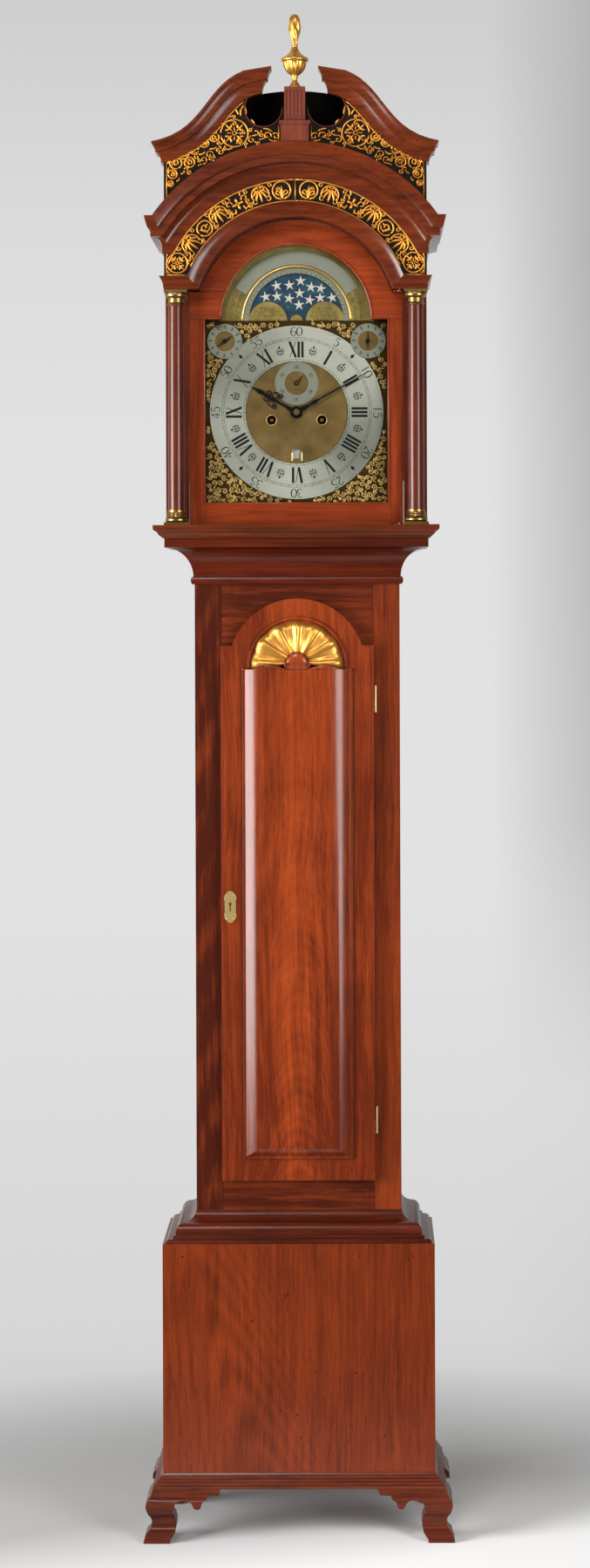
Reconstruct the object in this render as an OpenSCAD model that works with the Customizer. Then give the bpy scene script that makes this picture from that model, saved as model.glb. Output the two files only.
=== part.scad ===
// Longcase clock: break-arch hood with swan-neck pediment, blocked trunk door,
// eight-day movement with two weights and a seconds pendulum.
// The origin is on the floor, under the middle of the case; the dial faces -Y.

/* [Base] */
// Height of the bracket feet
foot_h = 84; // [76:1:92]
// How far the feet stand out from the base box
foot_out = 30.5; // [26:0.5:36]
// Length of each foot bracket along the case
foot_len = 125; // [110:1:140]
// Thickness of the foot brackets
foot_t = 20; // [16:1:26]
// Height of the stepped moulding over the feet
plinth_h = 23.5; // [20:0.5:28]
// Width of the base box
base_w = 443; // [434:1:452]
// Height of the base box
base_h = 371.5; // [340:0.5:400]
// Base front, measured forward of the origin
base_front = 109; // [104:1:114]
// Flat back of the whole clock, measured behind the origin
back = 141; // [136:1:150]
// Thickness of the base boards
base_t = 18; // [15:1:20]
// Thickness of the backboard
back_t = 12; // [9:1:14]

/* [Trunk] */
// Height of the moulding between base and trunk
waist_h = 47; // [42:1:52]
// How far that moulding stands out from the trunk
waist_out = 49; // [45:1:51]
// Width of the trunk
trunk_w = 336.5; // [330:0.5:340]
// Trunk front, measured forward of the origin
trunk_front = 54; // [52:1:56]
// Height of the rail under the trunk door
foot_rail = 50; // [44:1:56]
// Height of the rail over the door's arched head
head_rail = 24; // [20:1:28]
// Thickness of the trunk sides
trunk_t = 14; // [12:1:16]
// Thickness of the frame round the trunk door
frame_t = 16; // [14:1:18]
// Height of the cove moulding under the hood
throat_h = 74; // [70:1:78]
// How far the cove stands out from the trunk
throat_out = 47; // [45:0.5:49]

/* [Trunk door] */
// Width of the trunk door
door_w = 250.4; // [246:0.2:256]
// Height of the door from its bottom to its shoulders
door_h = 877; // [850:1:890]
// Radius of the door's arched head
door_r = 112; // [108:1:116]
// Depth of the arch centre under the shoulders
door_sink = 35; // [30:1:40]
// Thickness of the door in front of the frame
door_t = 16; // [14:1:18]
// How far the door laps over the frame
door_lap = 12; // [9:1:14]
// Gap between a closed door and its frame
door_gap = 0.3; // [0.2:0.05:0.5]
// Margin of the door beside its raised panel
panel_margin = 35.2; // [32:0.2:38]
// How far the raised panel stands out
panel_out = 15; // [10:1:18]
// Radius of the bead round the shell
bead_r = 82; // [79:1:86]
// Radius of the carved shell
shell_r = 74; // [68:1:76]

/* [Hood] */
// Width of the hood between its outer faces
hood_w = 428; // [424:1:432]
// Hood front, measured forward of the origin
hood_front = 104; // [101:1:106]
// Height of the moulding at the foot of the hood
hood_foot_h = 22; // [19:1:25]
// How far that moulding stands out
hood_foot_out = 19; // [16:1:22]
// Thickness of the hood sides
side_t = 15; // [13:1:17]
// Height of the columns with base and capital
column_h = 385; // [378:1:392]
// Radius of the column shafts
column_r = 13.2; // [12:0.1:14]
// Width of the column bases
column_foot_w = 40; // [38:1:42]
// Height of a column base
column_foot_h = 25; // [22:1:28]
// Height of a capital
capital_h = 26; // [23:1:29]
// Height of the blocks over the columns
block_h = 21; // [19:1:23]
// Height of the frieze
frieze_h = 36; // [33:1:39]
// Thickness of the frieze board
frieze_t = 18; // [15:1:20]
// Height of the main cornice
cornice_h = 60; // [56:1:64]
// How far the main cornice stands out
cornice_out = 31.2; // [28:0.2:34]
// Inner radius of the moulding over the hood door
arch_r = 165; // [163:1:167]
// Width of that moulding
arch_w = 23.6; // [22:0.2:25]
// Radius at the foot of the arched cornice
cornice_r = 226; // [223:1:229]
// Width of the arched cornice, seen from the front
cornice_arch_w = 58; // [55:1:61]
// Height of the upright side of the pediment over the cornice
pediment_side_h = 89; // [85:1:95]
// Height of the swan-neck mouldings over that side
swan_rise = 154; // [148:1:160]
// Thickness of a swan-neck moulding across its run
swan_h = 35; // [32:1:38]
// How far the swan necks stand out
swan_out = 19.3; // [17:0.1:22]
// Radius of the round openings by the pedestal
roundel_r = 31.8; // [29:0.2:33]
// Width of the plinth under the pedestal
plinth_w = 46; // [43:1:49]
// Width of the fluted pedestal
pedestal_w = 34; // [31:1:36]
// Height of the urn and flame
finial_h = 120; // [112:1:126]
// Radius of the urn's rim
urn_r = 22.5; // [20:0.5:24]

/* [Hood door] */
// Width of the hood door
glass_door_w = 350; // [348:1:351]
// Thickness of the hood door
glass_door_t = 18; // [16:1:19]
// Gap round the hood door
glass_door_gap = 0.8; // [0.6:0.1:1]
// Width of the dial opening in the door
opening_w = 299; // [296:1:302]
// Radius of the opening's arch
opening_r = 122.6; // [120:0.2:125]
// Thickness of the glass
glass_t = 2; // [1.5:0.5:3]

/* [Dial] */
// Height of the hand arbor over the column feet
dial_up = 187; // [184:1:190]
// Height of the dial's arch centre over the hand arbor
arch_up = 151; // [149:1:153]
// Dial front, measured forward of the origin
dial_front = 38; // [37:0.5:39]
// Thickness of the dial plate
dial_t = 2.5; // [2:0.5:3]
// Thickness of the silvered rings
ring_t = 1.5; // [1:0.1:1.6]
// Outer radius of the chapter ring
chapter_r = 143; // [140:1:145]
// Inner radius of the chapter ring
chapter_in_r = 84.4; // [83:0.2:86]
// Outer radius of the seconds ring
seconds_r = 36; // [33:0.5:36]
// Outer radius of the corner rings
corner_r = 28.7; // [26:0.1:29]
// Distance from the dial's side to the middle of a corner ring
corner_edge = 34.5; // [33:0.5:36]
// Height of the corner rings over the hand arbor
corner_up = 117.5; // [116:0.5:119]
// Radius of the moon disc that shows
moon_r = 78; // [76:1:79]
// Radius of the humps in front of the moon disc
hump_r = 31.5; // [29:0.5:33]
// Length of the minute hand
minute_len = 129; // [124:1:133]
// Length of the hour hand
hour_len = 83.5; // [80:0.5:84]

/* [Movement] */
// Distance between the movement plates
plate_gap = 54.5; // [54:0.5:58]
// Thickness of the movement plates
plate_t = 3.5; // [3:0.5:4]
// Half of the distance between the winding arbors
wind_x = 41.4; // [41:0.1:43]
// Depth of the winding arbors under the hand arbor
wind_down = 12.6; // [12:0.1:14]
// Radius of the barrels
barrel_r = 25; // [23:0.5:27]
// Diameter of the gut lines
line_d = 1.8; // [1.4:0.1:2.2]
// Running clearance of arbors in their holes
fit = 0.05; // [0.03:0.01:0.08]
// Height of the escape arbor over the hand arbor
escape_up = 48; // [46:0.5:49]
// Height of the pallet arbor over the escape arbor
pallet_up = 30; // [28:0.5:32]
// Radius of the escape wheel
escape_r = 20; // [18:0.5:21]
// Length of the pendulum to the middle of its bob
pendulum_len = 994; // [980:1:1000]
// Radius of the pendulum bob
bob_r = 52; // [45:1:56]
// Radius of the weights
weight_r = 32; // [28:1:34]
// Height of the weights
weight_h = 200; // [180:5:230]
// Height of the weights' feet over the floor when run down
weight_z = 160; // [145:1:220]
// Radius of the pulleys
pulley_r = 24; // [21:0.5:25]
// Thickness of the seat board
seat_t = 22; // [18:1:26]

/* [Hidden] */
$fn = 64;

mahogany = "#7a3018";
dark_mahogany = "#4d1c10";
brass = "#b08d4a";
gilt = "#c8932c";
silvered = "#b9b8ae";
blued = "#1c2438";
pine = "#b08a5e";

// Heights of the joints between the parts of the case
box_z = foot_h + plinth_h;
base_top = box_z + base_h;
trunk_z = base_top + waist_h;
door_z = trunk_z + foot_rail;
shoulder_z = door_z + door_h;
door_arch_z = shoulder_z - door_sink;
throat_z = door_arch_z + door_r + head_rail;
hood_z = throat_z + throat_h;
column_z = hood_z + hood_foot_h;
block_z = column_z + column_h;
frieze_z = block_z + block_h;
cornice_z = frieze_z + frieze_h;
cornice_top = cornice_z + cornice_h;
hand_z = column_z + dial_up;
arch_z = hand_z + arch_up;
trunk_x = trunk_w / 2;
base_x = base_w / 2;
hood_x = hood_w / 2;
seat_gap = 0.3;
far = 900;

// Points of a round stretch, from angle a0 to angle a1
function bend(x, y, rx, ry, a0, a1, n = 6) =
  [for (i = [0 : n]) let (a = a0 + (a1 - a0) * i / n) [x + rx * cos(a), y + ry * sin(a)]];

// A flat shape drawn in X and Z, standing from y0 back to y0 + t
module upright(y0, t) {
  translate([0, y0 + t, 0]) rotate([90, 0, 0]) linear_extrude(t) children();
}

// A flat shape drawn in Y and Z, run along X over the width w
module along_x(w) {
  rotate([90, 0, 90]) linear_extrude(w, center = true) children();
}

// A round rod along Y at the place p, given as [x, z]
module rod(p, y0, y1, r) {
  translate([p[0], y1, p[1]]) rotate([90, 0, 0]) cylinder(h = y1 - y0, r = r);
}

module block(x0, x1, y0, y1, z0, z1) {
  translate([x0, y0, z0]) cube([x1 - x0, y1 - y0, z1 - z0]);
}

// A moulding mitred round the front and both sides of a case. The profile's points
// are [out, up], from its foot to its top; inner_x and inner_front bound the hollow.
module mitred(profile, z, half_w, front, inner_x, inner_front) {
  last = len(profile) - 1;
  low = z + profile[0][1];
  high = z + profile[last][1];
  difference() {
    intersection() {
      along_x(far) polygon(concat(
        [for (p = profile) [-front - p[0], z + p[1]]], [[back, high], [back, low]]));
      upright(-far / 2, far) polygon(concat(
        [for (p = profile) [half_w + p[0], z + p[1]]],
        [for (i = [last : -1 : 0]) [-half_w - profile[i][0], z + profile[i][1]]]));
    }
    block(-inner_x, inner_x, -inner_front, far, low - 1, high + 1);
  }
}

// Case

// Ogee profile of a foot: [out, up] from the base box
foot_profile = concat(
  [[foot_out, 0], [foot_out, 3.5]],
  bend(foot_out - 1.5, foot_h * 0.37, 11.5, 15.5, 255, 120, 7),
  bend(foot_out - 18, foot_h * 0.7, 15, 17, -20, 60, 5),
  [[foot_out - 14, foot_h]]);

// Outline cut away under a bracket, from the corner inwards
function foot_cut(len) = concat(
  [[foot_out + 12, -1], [foot_out + 12, 5]],
  bend(foot_out + 10, foot_h * 0.35, 12.5, 22, -60, 60, 5),
  bend(foot_out + 34, foot_h * 0.7, 15, 9.5, 180, 10, 7),
  bend(foot_out + 56, foot_h * 0.72, 7, 7, 200, 330, 5),
  bend(foot_out + 70, foot_h * 0.72, 7, 7, 170, 90, 3),
  [[foot_out + 73, foot_h * 0.88], [len - 4, foot_h * 0.89], [len, foot_h + 1],
   [len + 40, foot_h + 1], [len + 40, -1]]);

module foot_corner() {
  corner_x = base_x + foot_out;
  corner_y = base_front + foot_out;
  difference() {
    intersection() {
      along_x(far) polygon(concat(
        [for (p = foot_profile) [-base_front - p[0], p[1]]], [[0, foot_h], [0, 0]]));
      upright(-far / 2, far) polygon(concat(
        [for (p = foot_profile) [-base_x - p[0], p[1]]], [[0, foot_h], [0, 0]]));
      block(-far, -corner_x + foot_len, -far, -corner_y + foot_len, 0, foot_h);
    }
    block(-base_x + foot_t, 0, -base_front + foot_t, far, -1, foot_h + 1);
    upright(-far, far - base_front + foot_t)
      polygon([for (p = foot_cut(foot_len)) [-corner_x + p[0], p[1]]]);
    translate([-base_x + foot_t - far, 0, 0]) rotate([90, 0, 90]) linear_extrude(far)
      polygon([for (p = foot_cut(foot_len)) [-corner_y + p[0], p[1]]]);
  }
}

// Rear feet have the same side bracket and a plain bracket set flush with the back
module foot_rear() {
  corner_x = base_x + foot_out;
  corner_y = back + foot_out - base_t;
  difference() {
    intersection() {
      upright(-far / 2, far) polygon(concat(
        [for (p = foot_profile) [-base_x - p[0], p[1]]], [[0, foot_h], [0, 0]]));
      block(-far, -corner_x + foot_len, back - foot_len + base_t, back, 0, foot_h);
    }
    block(-base_x + foot_t, 0, -far, back - base_t, -1, foot_h + 1);
    upright(back - base_t, far)
      polygon([for (p = foot_cut(foot_len)) [-corner_x + p[0], p[1]]]);
    translate([-base_x + foot_t - far, 0, 0]) rotate([90, 0, 90]) linear_extrude(far)
      polygon([for (p = foot_cut(foot_len)) [corner_y - p[0], p[1]]]);
  }
}

module bracket_feet() {
  color(mahogany) for (s = [0, 1]) mirror([s, 0, 0]) {
    foot_corner();
    foot_rear();
  }
}

module base_moulding() {
  step = plinth_h / 5;
  color(mahogany) mitred([[16, 0], [16, step], [12.5, step + 1], [12.5, 2 * step],
    [9, 2 * step + 1], [9, 3 * step], [5.5, 3 * step + 1], [5.5, 4 * step],
    [2.5, 4 * step + 1], [0.5, plinth_h]],
    foot_h, base_x, base_front, base_x - base_t, base_front - base_t);
}

module base_box() {
  color(mahogany) {
    block(-base_x, base_x, -base_front, base_t - base_front, box_z, base_top);
    for (s = [0, 1]) mirror([s, 0, 0])
      block(base_x - base_t, base_x, base_t - base_front, back, box_z, base_top);
    block(base_t - base_x, base_x - base_t, base_t - base_front, back - back_t,
      box_z, box_z + back_t);
  }
}

module backboard() {
  in_base = base_x - base_t;
  in_trunk = trunk_x - trunk_t;
  in_hood = hood_x - side_t - 9;
  right = [[in_base, box_z], [in_base, base_top], [in_trunk, base_top],
    [in_trunk, seat_z], [in_hood, seat_z], [in_hood, cornice_top - 20]];
  color(pine) upright(back - back_t, back_t) polygon(concat(right,
    [for (i = [len(right) - 1 : -1 : 0]) [-right[i][0], right[i][1]]]));
}

module trunk_base_moulding() {
  color(dark_mahogany) mitred(concat(
    [[waist_out, 0], [waist_out - 0.5, 3], [waist_out - 4, 6], [waist_out - 12, 7],
     [waist_out - 12, 11], [waist_out - 16, 11.5]],
    bend(waist_out - 29, waist_h - 31, 13, 14, 0, 70, 4),
    bend(20, waist_h, 19.5, 17, 270, 180, 6)),
    base_top, trunk_x, trunk_front, trunk_x, trunk_front);
}

// Outline of the trunk door, drawn smaller by the lap
module door_outline(lap) {
  half = door_w / 2 - lap;
  translate([-half, door_z + lap]) square([2 * half, door_h - 2 * lap]);
  difference() {
    translate([0, door_arch_z]) circle(r = door_r - lap, $fn = 96);
    translate([-far / 2, door_arch_z - far]) square([far, far - door_sink / 2]);
  }
}

module trunk_frame() {
  color(mahogany) upright(-trunk_front, frame_t) difference() {
    translate([-trunk_x, base_top]) square([trunk_w, hood_z - base_top]);
    door_outline(door_lap);
  }
}

module trunk_sides() {
  color(mahogany) for (s = [0, 1]) mirror([s, 0, 0]) {
    block(trunk_x - trunk_t, trunk_x, frame_t - trunk_front, back, base_top, hood_z);
    block(trunk_x - trunk_t, trunk_x, -10, back - back_t, hood_z, seat_z);
  }
}

module throat_moulding() {
  band = 14;
  bead = 12.5;
  color(dark_mahogany) mitred(concat(
    [[3, 0]], bend(3, bead / 2, 3.2, bead / 2, -80, 80, 6), [[2, bead]],
    bend(throat_out, bead, throat_out - 2, throat_h - band - bead, 180, 90, 10),
    [[throat_out, throat_h - band + 0.5], [throat_out, throat_h]]),
    throat_z, trunk_x, trunk_front, trunk_x, trunk_front);
}

// Movement: places of the arbors as [x, z]
plate_y = dial_t + 27.5 - dial_front;
rear_y = plate_y + plate_t + plate_gap;
in_y = plate_y + plate_t;
seat_z = hand_z - 107;
seat_top = seat_z + seat_t;
centre = [0, hand_z];
going = [wind_x, hand_z - wind_down];
strike = [-wind_x, hand_z - wind_down];
escape = [0, hand_z + escape_up];
pallet = [0, hand_z + escape_up + pallet_up];
great_teeth = 96;
leaves = 8;
centre_teeth = 60;
third_teeth = 56;
third_leaves = 7;
minute_teeth = 40;
minute_leaves = 6;
hour_teeth = 72;
great_reach = norm([wind_x, wind_down]);
great_m = 2 * great_reach / (great_teeth + leaves);
centre_m = 0.8;
third_m = 0.75;
reach_a = centre_m * (centre_teeth + leaves) / 2;
reach_b = third_m * (third_teeth + third_leaves) / 2;
third_up = (reach_a * reach_a - reach_b * reach_b + escape_up * escape_up) / (2 * escape_up);
third_x = sqrt(reach_a * reach_a - third_up * third_up);
third = [third_x, hand_z + third_up];
minute_m = 0.8;
minute_reach = minute_m * minute_teeth;
minute = [0, hand_z - minute_reach];
hour_m = 2 * minute_reach / (hour_teeth + minute_leaves);
strike_teeth = 84;
strike_leaves = 7;
strike_reach = great_m * (strike_teeth + strike_leaves) / 2;
pin_turn = 96;
pin_place = strike + strike_reach * [cos(pin_turn), sin(pin_turn)];
hammer_place = [-70, hand_z + 76];
bell_place = [0, hand_z + 150];
bell_r = 50;
pillar_r = 5;
line_y = in_y + 22.5;
wind_r = barrel_r + line_d / 2;
line_out = wind_x + wind_r;
groove_r = pulley_r - 1.1;
line_in = line_out - 2 * groove_r;
pulley_x = line_out - groove_r;
pulley_z = weight_z + weight_h + 65;
knot_z = seat_top + 16;
pendulum_y = rear_y + 25;
arbor_r = 2.5;
thin_r = 1.8;

module seat_board() {
  color(pine) difference() {
    block(-trunk_x, trunk_x, plate_y + 2, rear_y + 10, seat_z, seat_top);
    for (s = [-1, 1], x = [line_out, line_in])
      translate([s * x, line_y, seat_z - 1]) cylinder(h = seat_t + 2, r = 4);
  }
}

// Teeth drawn as flat-sided steps; "turn" puts the middle of one tooth at that angle
function gear(n, m, turn) = [for (i = [0 : n - 1], k = [0 : 3])
  let (rp = n * m / 2, a = turn + 360 / n * (i + [-0.2, -0.08, 0.08, 0.2][k]),
    r = (k == 0 || k == 3) ? rp - 1.15 * m : rp + 0.8 * m)
  [r * cos(a), r * sin(a)]];

// A toothed wheel round a rod of radius r, with its crossings cut out
module wheel(p, y0, t, n, m, turn, r, arms = 0) {
  rim = n * m / 2 - 1.15 * m - 3;
  hub = r + 4;
  upright(y0, t) translate(p) difference() {
    polygon(gear(n, m, turn));
    circle(r = (r + fit) / cos(15), $fn = 12);
    if (arms > 0) for (i = [0 : arms - 1]) rotate(360 / arms * (i + 0.5))
      polygon(concat(
        [for (a = [-150 / arms : 60 / arms : 150 / arms]) rim * [cos(a), sin(a)]],
        [for (a = [110 / arms : -55 / arms : -110 / arms]) hub * [cos(a), sin(a)]]));
  }
}

// A pinion cut from the solid, its arbor going on from both faces
module pinion(p, y0, t, n, m, turn, from_y, to_y, r) {
  upright(y0, t) translate(p) polygon(gear(n, m, turn));
  rod(p, from_y, y0, r);
  rod(p, y0 + t, to_y, r);
}

// Angle from one arbor to another, seen from the front
function aim(a, b) = atan2(b[1] - a[1], b[0] - a[0]);

module plate_holes(bore = fit) {
  for (a = [[centre, arbor_r], [going, 3.5], [strike, 3.5], [escape, thin_r],
      [third, thin_r], [pallet, thin_r], [pin_place, thin_r], [hammer_place, thin_r]])
    rod(a[0], plate_y - 1, rear_y + plate_t + 1, a[1] + bore);
}

plate_x = 76;
plate_top = hand_z + 95;
module movement_frame() {
  cheek = 4;
  cock_y = pendulum_y - 13;
  color(brass) {
    difference() {
      union() {
        block(-plate_x, plate_x, plate_y, in_y, seat_top, plate_top);
        block(-plate_x, plate_x, rear_y, rear_y + plate_t, seat_top, plate_top);
        for (x = [-line_in, line_in])
          rod([x, knot_z + line_d + pillar_r], in_y, rear_y, pillar_r);
        for (x = [12 - plate_x, plate_x - 12]) rod([x, plate_top - 40], in_y, rear_y, pillar_r);
      }
      plate_holes();
    }
    // Back cock that carries the pendulum
    difference() {
      union() {
        for (x = [-20, 16])
          block(x, x + cheek, rear_y + plate_t, cock_y + 26, pallet[1] - 8, pallet[1] + 8);
        for (y = [cock_y, cock_y + 22])
          block(-20, 20, y, y + cheek, pallet[1] - 8, pallet[1] + 8);
      }
      rod(pallet, cock_y - 1, cock_y + 27, 3 + fit);
    }
    // Bell stand, screwed to the front of the rear plate
    block(-5, 5, rear_y - 3, rear_y, plate_top - 10, bell_place[1] + 8);
    rod(bell_place, in_y + 44, rear_y - 3, 3);
  }
}

module bell() {
  color(silvered) translate([bell_place[0], in_y + 44, bell_place[1]]) rotate([90, 0, 0])
    rotate_extrude() polygon(concat(
      [[0, 0], [12, 0]], bend(0, 26, bell_r - 4, 24, -75, 0, 6), [[bell_r, 36], [bell_r - 2.5, 36]],
      bend(0, 26, bell_r - 6.5, 21.5, 0, -75, 6), [[0, 3]]));
}

dial_x = opening_w / 2 + 3;
corner_x = dial_x - corner_edge;
dial_low = column_z + 33;
dial_arch_r = opening_r + 4.4;
window_w = 16.4;
window_h = 15;
window_down = 68.6;
date_r = 79;
date_in_r = 58;
moon_edge_r = moon_r + 3;
dial_back = dial_t - dial_front;
moon_y = dial_back + 0.9;
date_y = dial_back + 3.1;
disc_t = 1.2;
bridge_y = dial_back + 6.5;
seconds_in_r = 19.4;
corner_in_r = 16.5;

module dial_shape() {
  translate([-dial_x, dial_low]) square([2 * dial_x, arch_z - dial_low]);
  intersection() {
    translate([0, arch_z]) circle(r = dial_arch_r, $fn = 128);
    translate([-dial_x, arch_z - 5]) square([2 * dial_x, far]);
  }
}

module dial_plate() {
  color(brass) {
    difference() {
      upright(-dial_front, dial_t) difference() {
        dial_shape();
        difference() {
          intersection() {
            translate([0, arch_z]) circle(r = moon_r, $fn = 128);
            translate([-far / 2, arch_z]) square([far, far]);
          }
          for (x = [-47, 47]) translate([x, arch_z]) circle(r = hump_r);
          translate([0, arch_z]) circle(r = 10);
        }
        translate([-window_w / 2, hand_z - window_down - window_h / 2])
          square([window_w, window_h]);
      }
      rod(centre, -dial_front - 1, 0, 5 + fit);
      rod(escape, -dial_front - 1, 0, thin_r + fit);
      for (p = [going, strike]) rod(p, -dial_front - 1, 0, 7.4);
      for (x = [-corner_x, corner_x])
        rod([x, hand_z + corner_up], -dial_front - 1, 0, thin_r + fit);
    }
    // Dial feet
    for (x = [-62, 62], z = [-67, 68]) rod([x, hand_z + z], dial_back, plate_y, 4);
    // Grooved rollers that carry the date ring
    for (a = [30 : 120 : 330]) {
      p = centre + (date_r + 3.2) * [cos(a), sin(a)];
      rod(p, dial_back, date_y + disc_t + 1, 3);
      rod(p, dial_back, date_y - 0.3, 6);
      rod(p, date_y + disc_t + 0.3, date_y + disc_t + 1.5, 6);
    }
    // Bridge behind the moon disc
    difference() {
      block(-95, 95, bridge_y, bridge_y + 3, arch_z - 6, arch_z + 6);
      rod([0, arch_z], bridge_y - 1, bridge_y + 4, thin_r + fit);
    }
    for (x = [-90, 90]) rod([x, arch_z], dial_back, bridge_y, 3);
  }
}

module ring(p, r, inner, t = ring_t) {
  upright(-dial_front - t, t) translate(p) difference() {
    circle(r = r, $fn = 128);
    circle(r = inner, $fn = 128);
  }
}

corner_ring_gap = 0.4;
module chapter_ring() {
  color(silvered) difference() {
    ring(centre, chapter_r, chapter_in_r);
    for (x = [-corner_x, corner_x])
      rod([x, hand_z + corner_up], -dial_front - 2 * ring_t, 0, corner_r + corner_ring_gap);
  }
}

module silvered_rings() {
  arch = [0, arch_z];
  color(silvered) {
    ring(escape, seconds_r, seconds_in_r);
    for (x = [-corner_x, corner_x]) ring([x, hand_z + corner_up], corner_r, corner_in_r);
    intersection() {
      ring(arch, opening_r - 7.6, moon_r + 14.5);
      upright(-far / 2, far) translate(arch)
        polygon([[0, 0], far * [cos(28), sin(28)], [0, far], far * [-cos(28), sin(28)]]);
    }
    intersection() {
      ring(arch, moon_r + 8, moon_r + 0.4, 1);
      block(-far, far, -far, far, arch_z, far * 4);
    }
  }
}

// Pierced corner pieces and the pieces between the arch and the chapter ring
module spandrels() {
  t = 2;
  color(gilt) upright(-dial_front - t, t) difference() {
    union() {
      difference() {
        translate([-dial_x + 5, dial_low + 5])
          square([2 * dial_x - 10, hand_z + corner_up - dial_low - 5]);
        translate([-dial_x, hand_z - 42]) square([2 * dial_x, 84]);
      }
      translate([-82, hand_z + 100]) square([164, arch_up - 102]);
    }
    translate(centre) circle(r = chapter_r + 1.2, $fn = 128);
    translate([-15, hand_z + 100]) square([30, 60]);
    for (x = [-corner_x, corner_x])
      translate([x, hand_z + corner_up]) circle(r = corner_r + 1.2);
    for (x = [-1, 1]) {
      for (p = [[19.5, 122], [34.5, 134], [18.5, 103], [55.5, 136]])
        translate([x * (dial_x - p[0]), hand_z - p[1]]) circle(r = 5);
      for (p = [[70, 138], [56, 142], [137, 68]])
        translate([x * p[0], hand_z + p[1]]) circle(r = 3.6);
    }
  }
}

// Trunk door with its fittings
core_gap = 0.8;
door_y = -trunk_front - door_gap - door_t;
hinge_r = 2.5;
hinge_gap = 0.2;
hinge_x = door_w / 2 + hinge_r + hinge_gap;
hinge_y = door_y + door_t / 2;
hinge_h = 44;
hinge_zs = [door_z + 76, shoulder_z - 110];

module trunk_door() {
  panel_x = door_w / 2 - panel_margin;
  panel_low = door_z + 36;
  panel_top = door_arch_z - 4;
  // The rolled margins are arcs that fall by the same drop, wide at the sides and narrow below
  lip = 3;
  ledge = 4.5;
  drop = panel_out - lip;
  side_w = 36;
  side_r = (side_w * side_w + drop * drop) / (2 * drop);
  side_turn = asin(side_w / side_r);
  low_w = 24;
  low_r = (low_w * low_w + drop * drop) / (2 * drop);
  low_turn = asin(low_w / low_r);
  side_in = panel_x - ledge - side_w;
  color(mahogany) {
    upright(door_y, door_t) door_outline(0);
    upright(door_y + door_t, frame_t - 2 + door_gap) door_outline(door_lap + core_gap);
    // Raised panel: flat in the middle, rounded down to its sides and its foot
    intersection() {
      translate([0, 0, panel_low]) linear_extrude(panel_top - panel_low) polygon(concat(
        [[-panel_x, door_y + 1], [-panel_x, door_y - lip]],
        bend(-side_in, door_y - panel_out + side_r, side_r, side_r, 270 - side_turn, 270, 8),
        bend(side_in, door_y - panel_out + side_r, side_r, side_r, 270, 270 + side_turn, 8),
        [[panel_x, door_y - lip], [panel_x, door_y + 1]]));
      along_x(far) polygon(concat(
        [[door_y + 2, panel_low], [door_y - lip, panel_low]],
        bend(door_y - panel_out + low_r, panel_low + ledge + low_w, low_r, low_r,
          180 + low_turn, 180, 8),
        [[door_y - panel_out, far * 3], [door_y + 2, far * 3]]));
    }
    // Bead round the shell
    translate([0, door_y, door_arch_z]) rotate([90, 0, 0])
      rotate_extrude(angle = 180) translate([bead_r - 4, -1]) square([4, 4.5]);
  }
}

module door_shell() {
  lobes = 9;
  edge = [for (a = [0 : 4 : 180])
    (shell_r - 2.5 + 2.5 * abs(cos(lobes * a))) * [cos(a), sin(a)]];
  color(gilt) upright(door_y - panel_out + 3, panel_out - 3)
    translate([0, door_arch_z + 2]) difference() {
      polygon(concat([[shell_r - 2, -3], [shell_r - 1, 0]], edge, [[2 - shell_r, -3]]));
      translate([0, 3]) circle(r = 19);
    }
}

lock_z = 1025;
lock_x = door_w / 2 - door_lap - core_gap;
key_x = panel_margin * 0.41 - door_w / 2;
module escutcheon() {
  plate_h = 52;
  plate_w = 18;
  color(brass) upright(door_y - 1.5, 1.5) difference() {
    union() {
      translate([key_x - plate_w / 2, lock_z - plate_h / 2 + 6]) square([plate_w, plate_h - 12]);
      for (s = [-1, 1]) {
        translate([key_x, lock_z + s * (plate_h / 2 - 7)]) circle(r = 7);
        translate([key_x, lock_z + s * (plate_h / 2 - 12)]) circle(r = plate_w / 2 + 1);
      }
    }
    translate([key_x, lock_z + 5]) circle(r = 2.6);
    translate([key_x - 1.3, lock_z - 7]) square([2.6, 12]);
  }
}

lock_front = door_y + door_t + frame_t - 2 + door_gap;
bolt_y = frame_t - trunk_front + 2;
bolt_t = 5;
bolt_h = 14;
module door_brasses() {
  color(brass) {
    difference() {
      block(-lock_x, -lock_x + 34, lock_front, bolt_y + bolt_t + 3, lock_z - 30, lock_z + 30);
      block(-lock_x - 1, -lock_x + 30, bolt_y - 0.1, bolt_y + bolt_t + 0.1,
        lock_z - bolt_h / 2 - 0.1, lock_z + bolt_h / 2 + 0.1);
    }
    for (z = hinge_zs) {
      // Moving leaf and its half of the knuckle
      block(door_w / 2, hinge_x, hinge_y - 1, hinge_y + 1, z, z + hinge_h / 2 - hinge_gap);
      translate([hinge_x, hinge_y, z]) cylinder(h = hinge_h / 2 - hinge_gap, r = hinge_r);
    }
  }
}

module fixed_hinge_leaves() {
  color(brass) for (z = hinge_zs) {
    translate([hinge_x, hinge_y, z + hinge_h / 2]) cylinder(h = hinge_h / 2, r = hinge_r);
    block(hinge_x - 1, hinge_x + 1, hinge_y, -trunk_front, z + hinge_h / 2, z + hinge_h);
  }
}

module lock_bolt() {
  color(brass) block(0.5 - lock_x, 20.5 - lock_x, bolt_y, bolt_y + bolt_t,
    lock_z - bolt_h / 2, lock_z + bolt_h / 2);
}

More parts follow.
